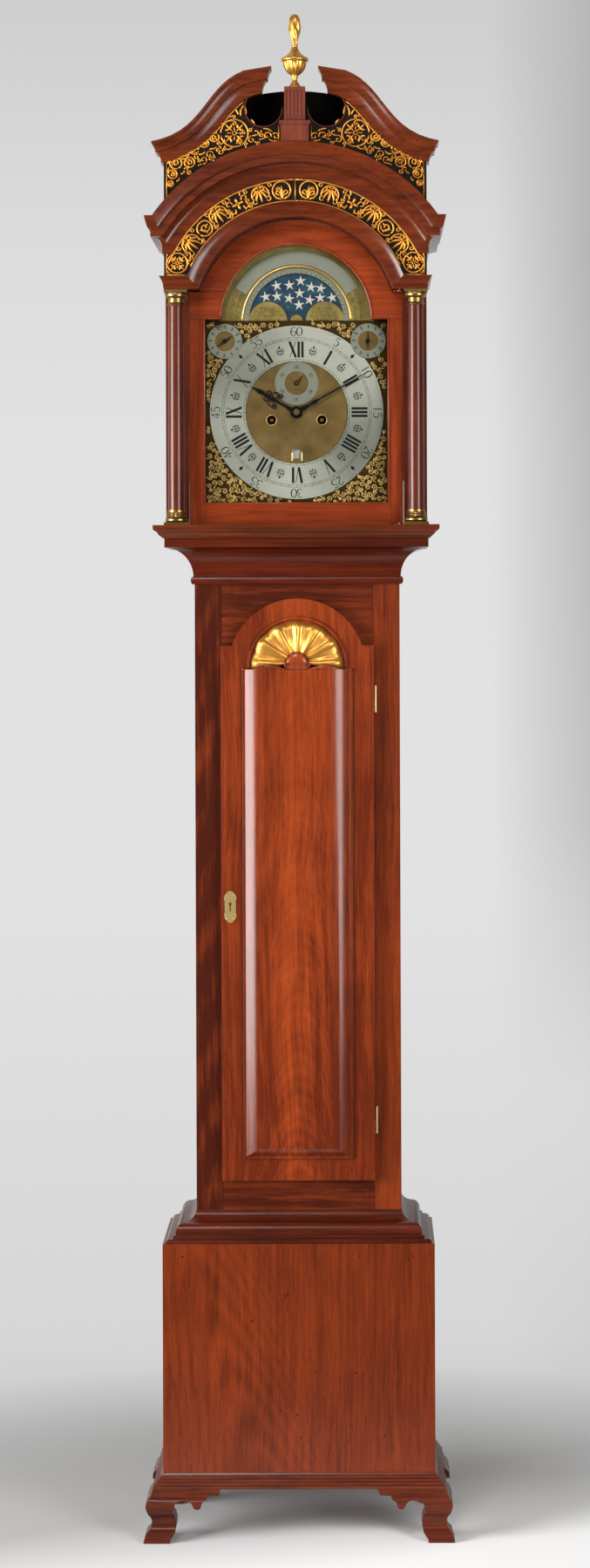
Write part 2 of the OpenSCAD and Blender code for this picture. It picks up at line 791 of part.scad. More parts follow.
// Hood
front_y = -hood_front;
column_x = hood_x - 18;
column_y = front_y + column_foot_w / 2;
hood_low = hood_z + seat_gap;
door_front = -hood_front + column_foot_w;
door_back = door_front + glass_door_t;
door_low = column_z + 0.6;
pin_x = glass_door_w / 2 - 4.5;
pin_y = column_y;
pin_r = 2.5;
strap_t = 3;
door_side_top = block_z - 1;

module hood_base_moulding() {
  h = column_z - hood_low;
  color(mahogany) difference() {
    mitred(concat([[2, 0], [4, 1]],
      bend(2, 11, 10, 8.5, 300, 350, 3), bend(hood_foot_out - 8, h - 5, 8, 6, 290, 360, 4),
      [[hood_foot_out, h]]),
      hood_low, hood_x, hood_front, hood_x - 29, -door_back);
    translate([pin_x, pin_y, column_z - 6]) cylinder(h = 7, r = pin_r + fit);
  }
}

// Opening of the hood front: upright sides, shoulders under the blocks, then the arch
module hood_opening(side, shoulder, r) {
  translate([-side, column_z - 1]) square([2 * side, shoulder - column_z + 1]);
  translate([0, arch_z]) circle(r = r, $fn = 128);
}

module hood_carcase() {
  color(mahogany) {
    for (s = [0, 1]) mirror([s, 0, 0])
      block(hood_x - side_t, hood_x, door_front, back, column_z, cornice_top);
    upright(door_front, glass_door_t) difference() {
      translate([side_t - hood_x, column_z]) square([hood_w - 2 * side_t, cornice_top - column_z]);
      hood_opening(glass_door_w / 2 + glass_door_gap, block_z, arch_r - 1.5);
    }
  }
}

module hood_columns() {
  shaft_h = column_h - column_foot_h - capital_h;
  color(mahogany) for (s = [-1, 1]) translate([s * column_x, column_y, column_z + column_foot_h])
    rotate_extrude() polygon([[0, 0], [column_r, 0], [column_r + 0.2, shaft_h / 3],
      [column_r - 1, shaft_h], [0, shaft_h]]);
}

module column_brasses() {
  w = column_foot_w;
  color(brass) for (s = [-1, 1]) translate([s * column_x, column_y, 0]) {
    translate([-w / 2, -w / 2, column_z]) cube([w, w, 5]);
    translate([0, 0, column_z + 5]) rotate_extrude() polygon(concat([[0, 0]],
      bend(15, 4, 3.5, 4, -90, 90, 5), bend(17.5, 10, 2, 2, 270, 180, 2),
      bend(14, 14, 2, 2, -60, 90, 3), [[14.5, 17], [14.5, column_foot_h - 5], [0, column_foot_h - 5]]));
    translate([0, 0, block_z - capital_h]) rotate_extrude() polygon(concat([[0, 0], [14.5, 0]],
      bend(12.7, 2.5, 2, 1.5, -60, 60, 2), [[12.6, 5], [12.6, 12]],
      bend(13, 18, 5, 6, -85, 60, 5), [[0, 22]]));
    translate([-w / 2 + 1, -w / 2 + 1, block_z - 5]) cube([w - 2, w - 2, 5]);
  }
}

// Angles and mitres where an arched moulding meets its straight ends
function meet_x(r, z) = sqrt(r * r - (z - arch_z) * (z - arch_z));

// Moulding with straight mitred ends over the columns and an arch in the middle
module arched(profile, z, r0, arch_scale, depth, inner_x, inner_front) {
  last = len(profile) - 1;
  h = profile[last][1];
  low = [meet_x(r0, z), z];
  high = [meet_x(r0 + h * arch_scale, z + h), z + h];
  run = high - low;
  top = high + 6 * run;
  bottom = low - run / 2;
  difference() {
    mitred(profile, z, hood_x, hood_front, inner_x, inner_front);
    upright(-far / 2, far / 2 - inner_front + 0.01)
      polygon([bottom, top, [-top[0], top[1]], [-bottom[0], bottom[1]]]);
    block(-high[0] - 12, high[0] + 12, -inner_front, -hood_front + 60, z - 1, z - 0.5);
  }
  intersection() {
    translate([0, front_y, arch_z]) rotate([90, 0, 0]) rotate_extrude(angle = 180, $fn = 128)
      polygon(concat([for (p = profile) [r0 + p[1] * arch_scale, p[0]]],
        [[r0 + h * arch_scale, -depth], [r0, -depth]]));
    upright(-far / 2, far)
      polygon([low, top, [-top[0], top[1]], [-low[0], low[1]]]);
  }
}

module lower_arch_moulding() {
  color(mahogany) difference() {
    arched([[0.8, 0], [1.5, 3], [2.2, 9], [5, 16], [8.5, block_h]], block_z, arch_r,
      arch_w / block_h, hood_front + door_front, hood_x, -door_front);
    translate([pin_x, pin_y, block_z - 1]) cylinder(h = 7, r = pin_r + fit);
  }
}

// Upper edge of a swan neck as a curve from its inner end to the outer corner
swan_in = 38;
swan_low_z = cornice_top + pediment_side_h + 32.5;
swan_top_z = cornice_top + pediment_side_h + swan_rise;
swan_end = [hood_x + swan_out, swan_low_z];
swan_hold = [[swan_in, swan_top_z], [swan_in + 112, swan_top_z],
  [swan_end[0] - 103, swan_end[1] + 16.9], swan_end];
function swan_at(t) = let (u = 1 - t) u * u * u * swan_hold[0] + 3 * u * u * t * swan_hold[1]
  + 3 * u * t * t * swan_hold[2] + t * t * t * swan_hold[3];
function swan_dir(t) = let (d = swan_at(t + 0.01) - swan_at(t - 0.01)) d / norm(d);
// Place on the moulding's face: "down" is measured square to the run
function swan_point(t, down) = let (d = swan_dir(t)) swan_at(t) + down * [d[1], -d[0]];
swan_steps = 12;
function swan_t(i) = 0.1 + 0.71 * i / swan_steps;
// The moulding grows thicker towards its inner end
swan_grow = 0.2;
function swan_deep(t) = 1 + swan_grow * (1 - t);
// Near the outer corner the curve is nearly straight: its height at the place x
tail_slope = 0.16;
tail_bend = 0.0043;
function tail_z(x, down) = let (run = swan_end[0] - x, slope = tail_slope + 2 * tail_bend * run)
  swan_low_z + tail_slope * run + tail_bend * run * run - 1.01 * down * norm([1, slope]);
// Underside of a neck, from its inner end to the corner of the case
swan_under = concat([[swan_in + swan_out, swan_top_z - (1 + swan_grow) * swan_h]],
  [for (i = [1 : swan_steps]) swan_point(swan_t(i), swan_deep(swan_t(i)) * swan_h)],
  [for (x = [hood_x - 25 : 5 : hood_x]) [x, tail_z(x, swan_h)]]);

module frieze_board() {
  roundel = [51.6, swan_top_z - 66];
  gap = 0.3;
  last = len(swan_under) - 1;
  edge = [for (i = [last : -1 : 3]) swan_under[i] - [0, gap]];
  color(dark_mahogany) upright(front_y, frieze_t) difference() {
    polygon(concat([[hood_x, frieze_z]], edge, [[roundel_r + roundel[0], roundel[1] + 14],
      [0, roundel[1]], [-roundel_r - roundel[0], roundel[1] + 14]],
      [for (i = [len(edge) - 1 : -1 : 0]) [-edge[i][0], edge[i][1]]], [[-hood_x, frieze_z]]));
    translate([0, arch_z]) circle(r = arch_r + arch_w, $fn = 128);
    for (x = [-1, 1]) translate([x * roundel[0], roundel[1]]) circle(r = roundel_r);
    translate([-plinth_w / 2 - gap, plinth_z - 6])
      square([plinth_w + 2 * gap, pedestal_z - plinth_z + 6]);
    translate([-cap_w / 2 - gap, pedestal_z - 6 - gap]) square([cap_w + 2 * gap, 6 + 2 * gap]);
    translate([-pedestal_w / 2 - gap, pedestal_z - 1]) square([pedestal_w + 2 * gap, pedestal_h]);
  }
  // Thin rims of the round openings, up to the underside of the necks
  color(dark_mahogany) for (s = [0, 1]) mirror([s, 0, 0]) difference() {
    translate([roundel[0], front_y + frieze_t, roundel[1]]) rotate([90, 0, 0])
      rotate_extrude(angle = 236, start = 180)
        translate([roundel_r - 2.2, 0]) square([2.2, frieze_t + 2.5]);
    upright(front_y - 3, frieze_t + 4) polygon(concat(
      [for (p = swan_under) p - [0, gap]],
      [[hood_x, swan_top_z + 9], [swan_in + swan_out - gap, swan_top_z + 9],
       swan_under[0] - [gap, gap]]));
  }
}

// Pierced frets of the frieze and the pediment
fret_t = 2.5;
module fret_ring(p, r, w) {
  translate(p) difference() {
    circle(r = r, $fn = 32);
    circle(r = r - w, $fn = 32);
  }
}

module gilt_frets() {
  mid_r = (arch_r + arch_w + cornice_r) / 2;
  half = (cornice_r - arch_r - arch_w) / 2;
  rosette = [column_x - 3, frieze_z + frieze_h / 2];
  color(gilt) {
    upright(front_y - fret_t, fret_t) {
      // Arched band of the frieze: two rims with scrolls between them
      intersection() {
        union() {
          fret_ring([0, arch_z], cornice_r - 0.5, 3);
          fret_ring([0, arch_z], arch_r + arch_w + 3.5, 3);
          for (a = [34.5 : 9.25 : 145.5])
            fret_ring([mid_r * cos(a), arch_z + mid_r * sin(a)], half - 1.5, 4);
          translate([-1.5, arch_z + mid_r - half + 1]) square([3, 2 * half - 2]);
        }
        translate([-165, arch_z + 108]) square([330, far]);
      }
      for (x = [-1, 1]) {
        // Rosette square at each end
        fret_ring([x * rosette[0], rosette[1]], frieze_h / 2 - 0.5, 2.5);
        for (a = [0, 90]) translate([x * rosette[0], rosette[1]]) rotate(a)
          square([frieze_h - 6, 3.5], center = true);
        // Pediment: large rosette, smaller scrolls outwards
        for (f = [[78.8, 12, 2], [71.8, 21, 6], [63.2, 17, 2], [56, 14, 2], [50.1, 12, 3]]) {
          reach = cornice_r + cornice_arch_w + f[1] + f[2];
          fret_ring([x * reach * cos(f[0]), arch_z + reach * sin(f[0])], f[1], 4);
        }
      }
    }
  }
}

cornice_profile = concat(
  [[3, 0], [3, 10]],
  bend(cornice_out - 18, 10, cornice_out - 21, 15.4, 180, 90, 5),
  [[cornice_out - 10, 27], [cornice_out - 10, 38]],
  bend(cornice_out - 10, cornice_h - 13, 6, 9, 270, 340, 4),
  [[cornice_out - 2, cornice_h - 8], [cornice_out, cornice_h]]);

module cornice() {
  color(mahogany) arched(cornice_profile, cornice_z, cornice_r, cornice_arch_w / cornice_h,
    0, hood_x, hood_front);
}

// Profile of a swan neck: [out, down] from its top edge
swan_profile = [[-frieze_t, 0], [swan_out, 0], [swan_out, 3], [swan_out - 3, 6],
  [swan_out - 6, 13], [swan_out - 6, 17], [swan_out - 9, 18], [swan_out - 13, 24],
  [swan_out - 15, 31], [swan_out - 15, swan_h], [-frieze_t, swan_h]];
function swan_ring(t) = [for (p = swan_profile) let (q = swan_point(t, p[1] * swan_deep(t)))
  [q[0], front_y - p[0], q[1]]];
// Mitred end rings: across the inner end, and round the outer corner to the side
function swan_inner(y) = [for (p = swan_profile)
  [swan_in + swan_out - max(p[0], 0), max(y, front_y - p[0]),
    swan_top_z - p[1] * (1 + swan_grow)]];
tail_x = hood_x - 29;
function swan_outer(turn, y) = [for (p = swan_profile)
  let (x = tail_x + turn * (hood_x + p[0] - tail_x)) [x, max(y, front_y - p[0]), tail_z(x, p[1])]];

module swan_solid(rings) {
  n = len(swan_profile);
  m = len(rings);
  polyhedron(points = [for (r = rings, p = r) p],
    faces = concat(
      [[for (k = [0 : n - 1]) k]],
      [for (i = [0 : m - 2], k = [0 : n - 1]) let (a = i * n + k, b = i * n + (k + 1) % n)
        [a, a + n, b + n, b]],
      [[for (k = [n - 1 : -1 : 0]) (m - 1) * n + k]]), convexity = 6);
}

module swan_necks() {
  rings = concat(
    [swan_inner(front_y + frieze_t + 2), swan_inner(-far)],
    [for (i = [1 : swan_steps]) swan_ring(swan_t(i))],
    [for (turn = [0.34, 0.67, 1]) swan_outer(turn, -far)],
    [swan_outer(1, front_y + frieze_t + 26)]);
  color(mahogany) for (s = [0, 1]) mirror([s, 0, 0]) swan_solid(rings);
}

plinth_z = arch_z + cornice_r + cornice_arch_w;
plinth_y = front_y - 6;
pedestal_z = plinth_z + 33;
pedestal_h = 56;
cap_w = plinth_w + 4;
module finial_pedestal() {
  color(mahogany) {
    difference() {
      union() {
        translate([-plinth_w / 2, plinth_y - plinth_w / 2, plinth_z - 6]) cube([plinth_w, plinth_w, 33]);
        translate([-cap_w / 2, plinth_y - cap_w / 2, pedestal_z - 6]) cube([cap_w, cap_w, 6]);
      }
      translate([0, front_y, arch_z]) rotate([90, 0, 0])
        cylinder(h = 100, r = plinth_z - arch_z + fit, $fn = 128);
    }
    difference() {
      translate([-pedestal_w / 2, plinth_y - pedestal_w / 2, pedestal_z])
        cube([pedestal_w, pedestal_w, pedestal_h]);
      for (x = [-2 : 2])
        translate([x * pedestal_w / 5.6, plinth_y - pedestal_w / 2 - 0.6, pedestal_z + 6])
          cylinder(h = pedestal_h - 12, r = 2, $fn = 24);
    }
  }
}

module finial() {
  z = pedestal_z + pedestal_h;
  urn_h = finial_h * 0.44;
  color(gilt) translate([0, plinth_y, z]) {
    rotate_extrude() polygon(concat(
      [[0, 0], [15, 0], [15, 4], [9, 6], [6, 12], [7, 14]],
      bend(0, urn_h * 0.75, urn_r - 2, urn_h * 0.48, -70, 0, 6),
      [[urn_r, urn_h * 0.78], [urn_r, urn_h * 0.83], [urn_r - 4, urn_h * 0.88],
       [8, urn_h], [0, urn_h]]));
    // Flame on a slender neck
    flame = finial_h - urn_h;
    rotate_extrude() polygon([[0, urn_h], [8, urn_h], [3.5, urn_h + 6], [3.5, urn_h + flame * 0.3],
      [0, urn_h + flame * 0.3]]);
    translate([0, 0, urn_h + flame * 0.28])
      linear_extrude(flame * 0.44, twist = 120, slices = 8, scale = 1.9) circle(r = 5.5, $fn = 5);
    translate([0, 0, urn_h + flame * 0.72]) rotate(-120)
      linear_extrude(flame * 0.28, twist = 90, slices = 6, scale = 0.3) circle(r = 10.45, $fn = 5);
  }
}

roof_t = 10;
module hood_roof() {
  lift = swan_top_z - 29;
  board_x = 110;
  board_in = 44;
  color(dark_mahogany) {
    block(-hood_x, hood_x, door_front, back, cornice_top, cornice_top + roof_t);
    for (x = [-hood_x, hood_x - 105])
      block(x, x + 105, frieze_t - hood_front, door_front, cornice_top, cornice_top + roof_t);
    // Dark board behind the round openings
    upright(frieze_t - hood_front + board_in, roof_t) polygon(concat(
      [[-board_x, cornice_top + roof_t], [board_x, cornice_top + roof_t]],
      bend(0, lift - 34, board_x, 34, 0, 180, 14)));
    for (x = [-board_x, board_x - roof_t])
      block(x, x + roof_t, frieze_t - hood_front, frieze_t - hood_front + board_in,
        cornice_top + roof_t, lift - 60);
  }
}

// Hood door, hung on cranked straps so that its arched head clears the moulding
module hood_door() {
  half = glass_door_w / 2;
  rail_z = column_z + 38;
  color(mahogany) difference() {
    upright(door_front, glass_door_t) difference() {
      union() {
        translate([-half, door_low]) square([glass_door_w, door_side_top - door_low]);
        translate([0, arch_z]) intersection() {
          circle(r = arch_r - 2.5, $fn = 128);
          translate([-far / 2, 0]) square([far, far]);
        }
      }
      translate([-opening_w / 2, rail_z]) square([opening_w, arch_z - rail_z]);
      translate([0, arch_z]) circle(r = opening_r, $fn = 128);
    }
    upright(door_back - 8, 8 + 1) glass_shape(5);
    // Seats of the two straps
    for (z = [door_low - 1, door_side_top - strap_t - 0.2])
      block(pin_x - 12, half + 1, door_front - 1, door_front + 12, z, z + strap_t + 1.2);
  }
  color(brass) for (z = [door_low, door_side_top - strap_t]) {
    block(pin_x - 11.5, half - 0.5, pin_y, door_front + 11.5, z + 0.1, z + strap_t - 0.1);
    translate([pin_x, pin_y, z + 0.1]) cylinder(h = strap_t - 0.2, r = 4.5);
  }
  color(brass) {
    translate([pin_x, pin_y, column_z - 5.5]) cylinder(h = door_low - column_z + 5.6, r = pin_r);
    translate([pin_x, pin_y, door_side_top - 0.1]) cylinder(h = 6, r = pin_r);
  }
}

module glass_shape(lap) {
  rail_z = column_z + 38;
  translate([-opening_w / 2 - lap, rail_z - lap])
    square([opening_w + 2 * lap, arch_z - rail_z + 2 * lap]);
  translate([0, arch_z]) circle(r = opening_r + lap, $fn = 128);
}

module hood_door_glass() {
  color([0.8, 0.88, 0.9, 0.3]) upright(door_back - 8, glass_t) glass_shape(4.7);
}

// Hands and wheels. Angles are clockwise from twelve, seen from the front.
minute_angle = 60.7;
hour_angle = 300;
minute_y = -dial_front - 8.4;
hour_y = -dial_front - 5;
cannon_r = 3.6;

module hand_shape(p, angle, points) {
  translate(p) rotate(-angle) difference() {
    union() {
      polygon(concat(points, [for (i = [len(points) - 1 : -1 : 0]) [-points[i][0], points[i][1]]]));
      circle(r = 7);
    }
    circle(r = cannon_r + fit, $fn = 48);
  }
}

module minute_hand() {
  color(blued) upright(minute_y, 1.2) hand_shape(centre, minute_angle,
    [[2.2, 5], [4, 16], [1.6, 26], [3.4, 34], [1.2, 44], [1.4, 70], [0.5, minute_len]]);
  color(brass) {
    difference() {
      rod(centre, minute_y - 1, plate_y - 0.5, cannon_r);
      rod(centre, minute_y - 2, plate_y, arbor_r + fit);
    }
    wheel(centre, plate_y - 5, 2, minute_teeth, minute_m, 90, cannon_r);
  }
}

module centre_wheel() {
  color(brass) {
    pinion(centre, in_y + 1.5, 5, leaves, great_m, aim(centre, going) + 180 / leaves,
      minute_y - 3.5, rear_y + plate_t + 0.5, arbor_r);
    rod(centre, minute_y - 2.6, minute_y - 1.2, 5);
    wheel(centre, in_y + 48.5, 1.5, centre_teeth, centre_m, aim(centre, third), arbor_r, 4);
  }
}

module hour_hand() {
  // Pierced scrolls on both sides of the stem: out from it, along it, radius
  scrolls = [[10.4, 35, 3.6], [7, 43.4, 6.2], [4.8, 54.6, 4.8]];
  color(blued) upright(hour_y, 1.2) translate(centre) rotate(-hour_angle) difference() {
    union() {
      polygon([[3, 8], [1.8, 22], [1.4, 58], [3.8, 67], [0.8, hour_len],
        [-0.8, hour_len], [-3.8, 67], [-1.4, 58], [-1.8, 22], [-3, 8]]);
      for (s = scrolls, x = [-1, 1]) translate([x * s[0], s[1]]) circle(r = s[2], $fn = 32);
      circle(r = 10);
    }
    circle(r = 4.3, $fn = 48);
    for (s = scrolls, x = [-1, 1])
      translate([x * (s[0] + 0.2), s[1]]) circle(r = s[2] - 1.8, $fn = 24);
  }
  color(brass) {
    difference() {
      rod(centre, hour_y - 0.6, plate_y - 8.5, 5);
      rod(centre, hour_y - 2, plate_y, 4.2);
    }
    wheel(centre, plate_y - 12, 2, hour_teeth, hour_m, 270, 5);
  }
}

module minute_wheel() {
  color(brass) {
    pinion(minute, plate_y - 13, 4, minute_leaves, hour_m, 90 + 180 / minute_leaves,
      plate_y - 14, plate_y - 0.3, thin_r);
    wheel(minute, plate_y - 5, 2, minute_teeth, minute_m, 90 + 180 / minute_teeth, thin_r);
  }
}

module third_wheel() {
  color(brass) {
    pinion(third, in_y + 47.5, 3.5, leaves, centre_m, aim(third, centre) + 180 / leaves,
      plate_y - 0.5, rear_y + plate_t + 0.5, thin_r);
    wheel(third, in_y + 34.5, 1.5, third_teeth, third_m, aim(third, escape), thin_r, 4);
  }
}

module escape_wheel() {
  teeth = 30;
  color(brass) {
    pinion(escape, in_y + 33.5, 3.5, third_leaves, third_m,
      aim(escape, third) + 180 / third_leaves,
      -dial_front - 3.6, rear_y + plate_t + 0.5, thin_r);
    upright(in_y + 24.5, 1.5) translate(escape) difference() {
      polygon([for (i = [0 : teeth - 1], k = [0 : 2])
        let (a = 360 / teeth * (i + [0, 0.12, 0.55][k]), r = k < 2 ? escape_r : escape_r - 3.4)
        [r * cos(a), r * sin(a)]]);
      circle(r = (thin_r + fit) / cos(15), $fn = 12);
    }
  }
}

module seconds_hand() {
  color(blued) upright(-dial_front - 3.4, 0.8) translate(escape) rotate(-42) difference() {
    union() {
      polygon([[1, 2], [0.4, 17], [-0.4, 17], [-1, 2]]);
      circle(r = 4);
    }
    circle(r = thin_r + fit, $fn = 48);
  }
}

module anchor() {
  reach = 45;
  tip = escape_r + 1.4;
  left = [tip * cos(reach), tip * sin(reach) - pallet_up];
  crutch_y = rear_y + plate_t + 1.5;
  crutch_len = 122;
  fork_h = 6;
  color(brass) {
    upright(in_y + 24.5, 1.5) translate(pallet) difference() {
      polygon([[-6, 5], [6, 5], [left[0] + 4, left[1] + 2], left, [left[0] - 3, left[1] + 6],
        [4, -4], [-4, -4], [3 - left[0], left[1] + 6], [-left[0], left[1]],
        [-left[0] - 4, left[1] + 2]]);
      circle(r = (thin_r + fit) / cos(15), $fn = 12);
    }
    rod(pallet, plate_y - 1, crutch_y + 1.5, thin_r);
    // Crutch with its fork round the pendulum rod
    upright(crutch_y, 1.5) translate(pallet) difference() {
      translate([-4, -crutch_len]) square([8, crutch_len + 4]);
      circle(r = thin_r + fit, $fn = 48);
    }
    for (x = [-4.6, 2.8])
      block(x, x + 1.8, crutch_y + 1.5, pendulum_y + 4,
        pallet[1] - crutch_len, pallet[1] - crutch_len + fork_h);
  }
}

module pendulum() {
  z = pallet[1];
  low = z - pendulum_len;
  color(brass) {
    rod(pallet, pendulum_y - 13, pendulum_y + 13, 3);
    block(-4, 4, pendulum_y - 2, pendulum_y + 2, z - 30, z - 2);
    translate([0, pendulum_y, low - bob_r - 18]) cylinder(h = pendulum_len + bob_r - 2, r = 2.5);
    translate([0, pendulum_y + 14, low]) rotate([90, 0, 0]) rotate_extrude() polygon(concat(
      [[0, 0]], bend(0, 12, bob_r, 12, -90, 0, 6), bend(0, 16, bob_r, 12, 0, 90, 6), [[0, 28]]));
    translate([0, pendulum_y, low - bob_r - 14]) cylinder(h = 8, r = 7);
  }
}

barrel_y = in_y + 10.5;
barrel_l = 31;
module going_great_wheel() {
  color(brass) wheel(going, in_y + 3, 2.5, great_teeth, great_m, aim(going, centre), 3.5, 6);
}

module strike_great_wheel() {
  color(brass) wheel(strike, in_y + 3, 2.5, strike_teeth, great_m, pin_turn, 3.5, 6);
}

module barrel(p) {
  color(brass) {
    rod(p, plate_y - 4, rear_y + plate_t + 1, 3.5);
    difference() {
      union() {
        rod(p, barrel_y, barrel_y + barrel_l, barrel_r);
        rod(p, barrel_y - 2, barrel_y, barrel_r + 4);
        rod(p, barrel_y + barrel_l, barrel_y + barrel_l + 2, barrel_r + 4);
      }
      rod(p, barrel_y - 3, barrel_y + barrel_l + 3, 3.5);
    }
    // Squared winding end and the ratchet under the great wheel
    block(p[0] - 2.4, p[0] + 2.4, dial_back - 1.5, plate_y - 4, p[1] - 2.4, p[1] + 2.4);
    upright(in_y + 6, 2) translate(p) difference() {
      polygon([for (i = [0 : 23], k = [0, 1]) (k == 0 ? 14 : 12) * [cos(15 * i), sin(15 * i)]]);
      circle(r = (3.5 + fit) / cos(15), $fn = 12);
    }
  }
}

module going_barrel() {
  barrel(going);
}

module strike_barrel() {
  barrel(strike);
}

module pin_wheel() {
  teeth = 56;
  color(brass) {
    pinion(pin_place, in_y + 1.5, 5, strike_leaves, great_m, pin_turn + 180 + 180 / strike_leaves,
      plate_y - 0.5, rear_y + plate_t + 0.5, thin_r);
    wheel(pin_place, in_y + 47, 1.5, teeth, centre_m, 0, thin_r, 4);
    for (a = [0 : 45 : 315])
      rod(pin_place + 17 * [cos(a), sin(a)], in_y + 48.5, in_y + 51.5, 1);
  }
}

module hammer() {
  head = bell_place - [bell_r + 8.6, 0];
  color(brass) {
    rod(hammer_place, plate_y - 0.5, rear_y + plate_t + 0.5, thin_r);
    upright(in_y + 12, 2) translate(hammer_place) difference() {
      union() {
        circle(r = 5);
        polygon([[-1.6, 0], [1.6, 0], head - hammer_place + [1.6, 0], head - hammer_place - [1.6, 0]]);
        polygon([[0, -3], [0, 3], [16, -12], [14, -15]]);
      }
      circle(r = (thin_r + fit) / cos(15), $fn = 12);
    }
    translate([head[0] - 6, in_y + 13, head[1]]) rotate([0, 90, 0]) cylinder(h = 14, r = 6);
  }
}

module moon_disc() {
  color("#1d5573") upright(moon_y, disc_t) translate([0, arch_z]) circle(r = moon_edge_r, $fn = 128);
  color(brass) rod([0, arch_z], moon_y + disc_t, bridge_y + 4, thin_r);
}

module date_ring() {
  color(silvered) upright(date_y, disc_t) translate(centre) difference() {
    circle(r = date_r, $fn = 128);
    circle(r = date_in_r, $fn = 128);
  }
}

module corner_hand(x, angle) {
  p = [x, hand_z + corner_up];
  color(blued) upright(-dial_front - 4, 1) translate(p) rotate(-angle) difference() {
    union() {
      polygon([[1.2, 2], [0.4, corner_in_r - 1.5], [-0.4, corner_in_r - 1.5], [-1.2, 2],
        [-1.2, -2], [-0.4, 1.5 - corner_in_r], [0.4, 1.5 - corner_in_r], [1.2, -2]]);
      circle(r = 3.6);
    }
    circle(r = thin_r + fit, $fn = 48);
  }
  color(brass) {
    rod(p, -dial_front - 4.8, dial_back + 3, thin_r);
    rod(p, dial_back + 0.3, dial_back + 2.3, 4);
  }
}

module corner_hand_left() {
  corner_hand(-corner_x, 54);
}

module corner_hand_right() {
  corner_hand(corner_x, 0);
}

// Weights, pulleys and lines, drawn for the right-hand side
module weight() {
  z = weight_z;
  color(brass) {
    translate([pulley_x, line_y, z]) rotate_extrude() polygon(concat([[0, 0], [weight_r - 3, 0]],
      bend(weight_r - 3, 3, 3, 3, -90, 0, 3), [[weight_r, weight_h - 14]],
      bend(0, weight_h - 14, weight_r - 1, 14, 0, 78, 5), [[0, weight_h]]));
    translate([pulley_x, line_y, z + weight_h - 2]) cylinder(h = 32, r = 2.5);
    // Stirrup over the pulley
    difference() {
      union() {
        for (y = [line_y - 7, line_y + 5])
          block(pulley_x - 6, pulley_x + 6, y, y + 2, z + weight_h + 28, pulley_z + 8);
        block(pulley_x - 6, pulley_x + 6, line_y - 5, line_y + 5, z + weight_h + 28,
          z + weight_h + 32);
      }
    }
    rod([pulley_x, pulley_z], line_y - 5, line_y + 5, 2.5);
  }
  color("#c9b48a") translate([pulley_x, line_y, pulley_z]) rotate([90, 0, 0])
    rotate_extrude(angle = 180, start = 180) translate([groove_r, 0]) circle(r = line_d / 2, $fn = 24);
}

module pulley() {
  color(brass) difference() {
    translate([pulley_x, line_y, pulley_z]) rotate([90, 0, 0]) rotate_extrude()
      polygon([[2.5 + fit, -4], [pulley_r, -4], [pulley_r, -3], [groove_r - line_d / 2 - 0.3, -1.2],
        [groove_r - line_d / 2 - 0.3, 1.2], [pulley_r, 3], [pulley_r, 4], [2.5 + fit, 4]]);
  }
}

module line() {
  color("#c9b48a") {
    translate([line_out, line_y, pulley_z]) cylinder(h = going[1] - pulley_z, r = line_d / 2, $fn = 24);
    translate([line_in, line_y, pulley_z]) cylinder(h = knot_z - pulley_z, r = line_d / 2, $fn = 24);
  }
}

module going_weight() {
  weight();
}

module strike_weight() {
  mirror([1, 0, 0]) weight();
}

module going_pulley() {
  pulley();
}

module strike_pulley() {
  mirror([1, 0, 0]) pulley();
}

module going_line() {
  line();
}

module strike_line() {
  mirror([1, 0, 0]) line();
}

bracket_feet();
base_moulding();
base_box();
backboard();
trunk_base_moulding();
trunk_frame();
trunk_sides();
throat_moulding();
seat_board();
movement_frame();
bell();
dial_plate();
chapter_ring();
silvered_rings();
spandrels();
fixed_hinge_leaves();
going_line();
strike_line();
trunk_door();
door_shell();
escutcheon();
door_brasses();
lock_bolt();
hood_base_moulding();
hood_carcase();
hood_columns();
column_brasses();
lower_arch_moulding();
frieze_board();
gilt_frets();
cornice();
swan_necks();
finial_pedestal();
finial();
hood_roof();
hood_door();
hood_door_glass();
minute_hand();
centre_wheel();
hour_hand();
minute_wheel();
third_wheel();
escape_wheel();
seconds_hand();
anchor();
pendulum();
going_great_wheel();
going_barrel();
strike_great_wheel();
strike_barrel();
pin_wheel();
hammer();
moon_disc();
date_ring();
corner_hand_left();
corner_hand_right();
going_weight();
strike_weight();
going_pulley();
strike_pulley();
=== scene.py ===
import math
import random
import bmesh
import bpy
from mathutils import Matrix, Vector


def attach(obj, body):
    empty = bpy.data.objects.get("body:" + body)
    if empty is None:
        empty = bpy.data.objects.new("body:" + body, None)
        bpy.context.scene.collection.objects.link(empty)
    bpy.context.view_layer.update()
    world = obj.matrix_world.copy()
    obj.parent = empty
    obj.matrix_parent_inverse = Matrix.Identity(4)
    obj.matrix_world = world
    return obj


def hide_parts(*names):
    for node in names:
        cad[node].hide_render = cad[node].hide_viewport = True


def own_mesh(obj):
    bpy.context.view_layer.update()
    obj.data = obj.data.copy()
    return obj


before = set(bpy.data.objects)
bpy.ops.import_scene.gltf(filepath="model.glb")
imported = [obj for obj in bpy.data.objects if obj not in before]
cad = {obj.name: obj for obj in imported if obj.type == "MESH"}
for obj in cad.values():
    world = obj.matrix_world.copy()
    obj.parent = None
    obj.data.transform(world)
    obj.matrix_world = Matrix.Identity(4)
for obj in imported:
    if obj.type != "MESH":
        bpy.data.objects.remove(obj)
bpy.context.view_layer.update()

# Bracket feet: four ogee brackets sawn from solid mahogany, mitred at the corner,
# with a scalloped lower edge; glued and blocked under the base.


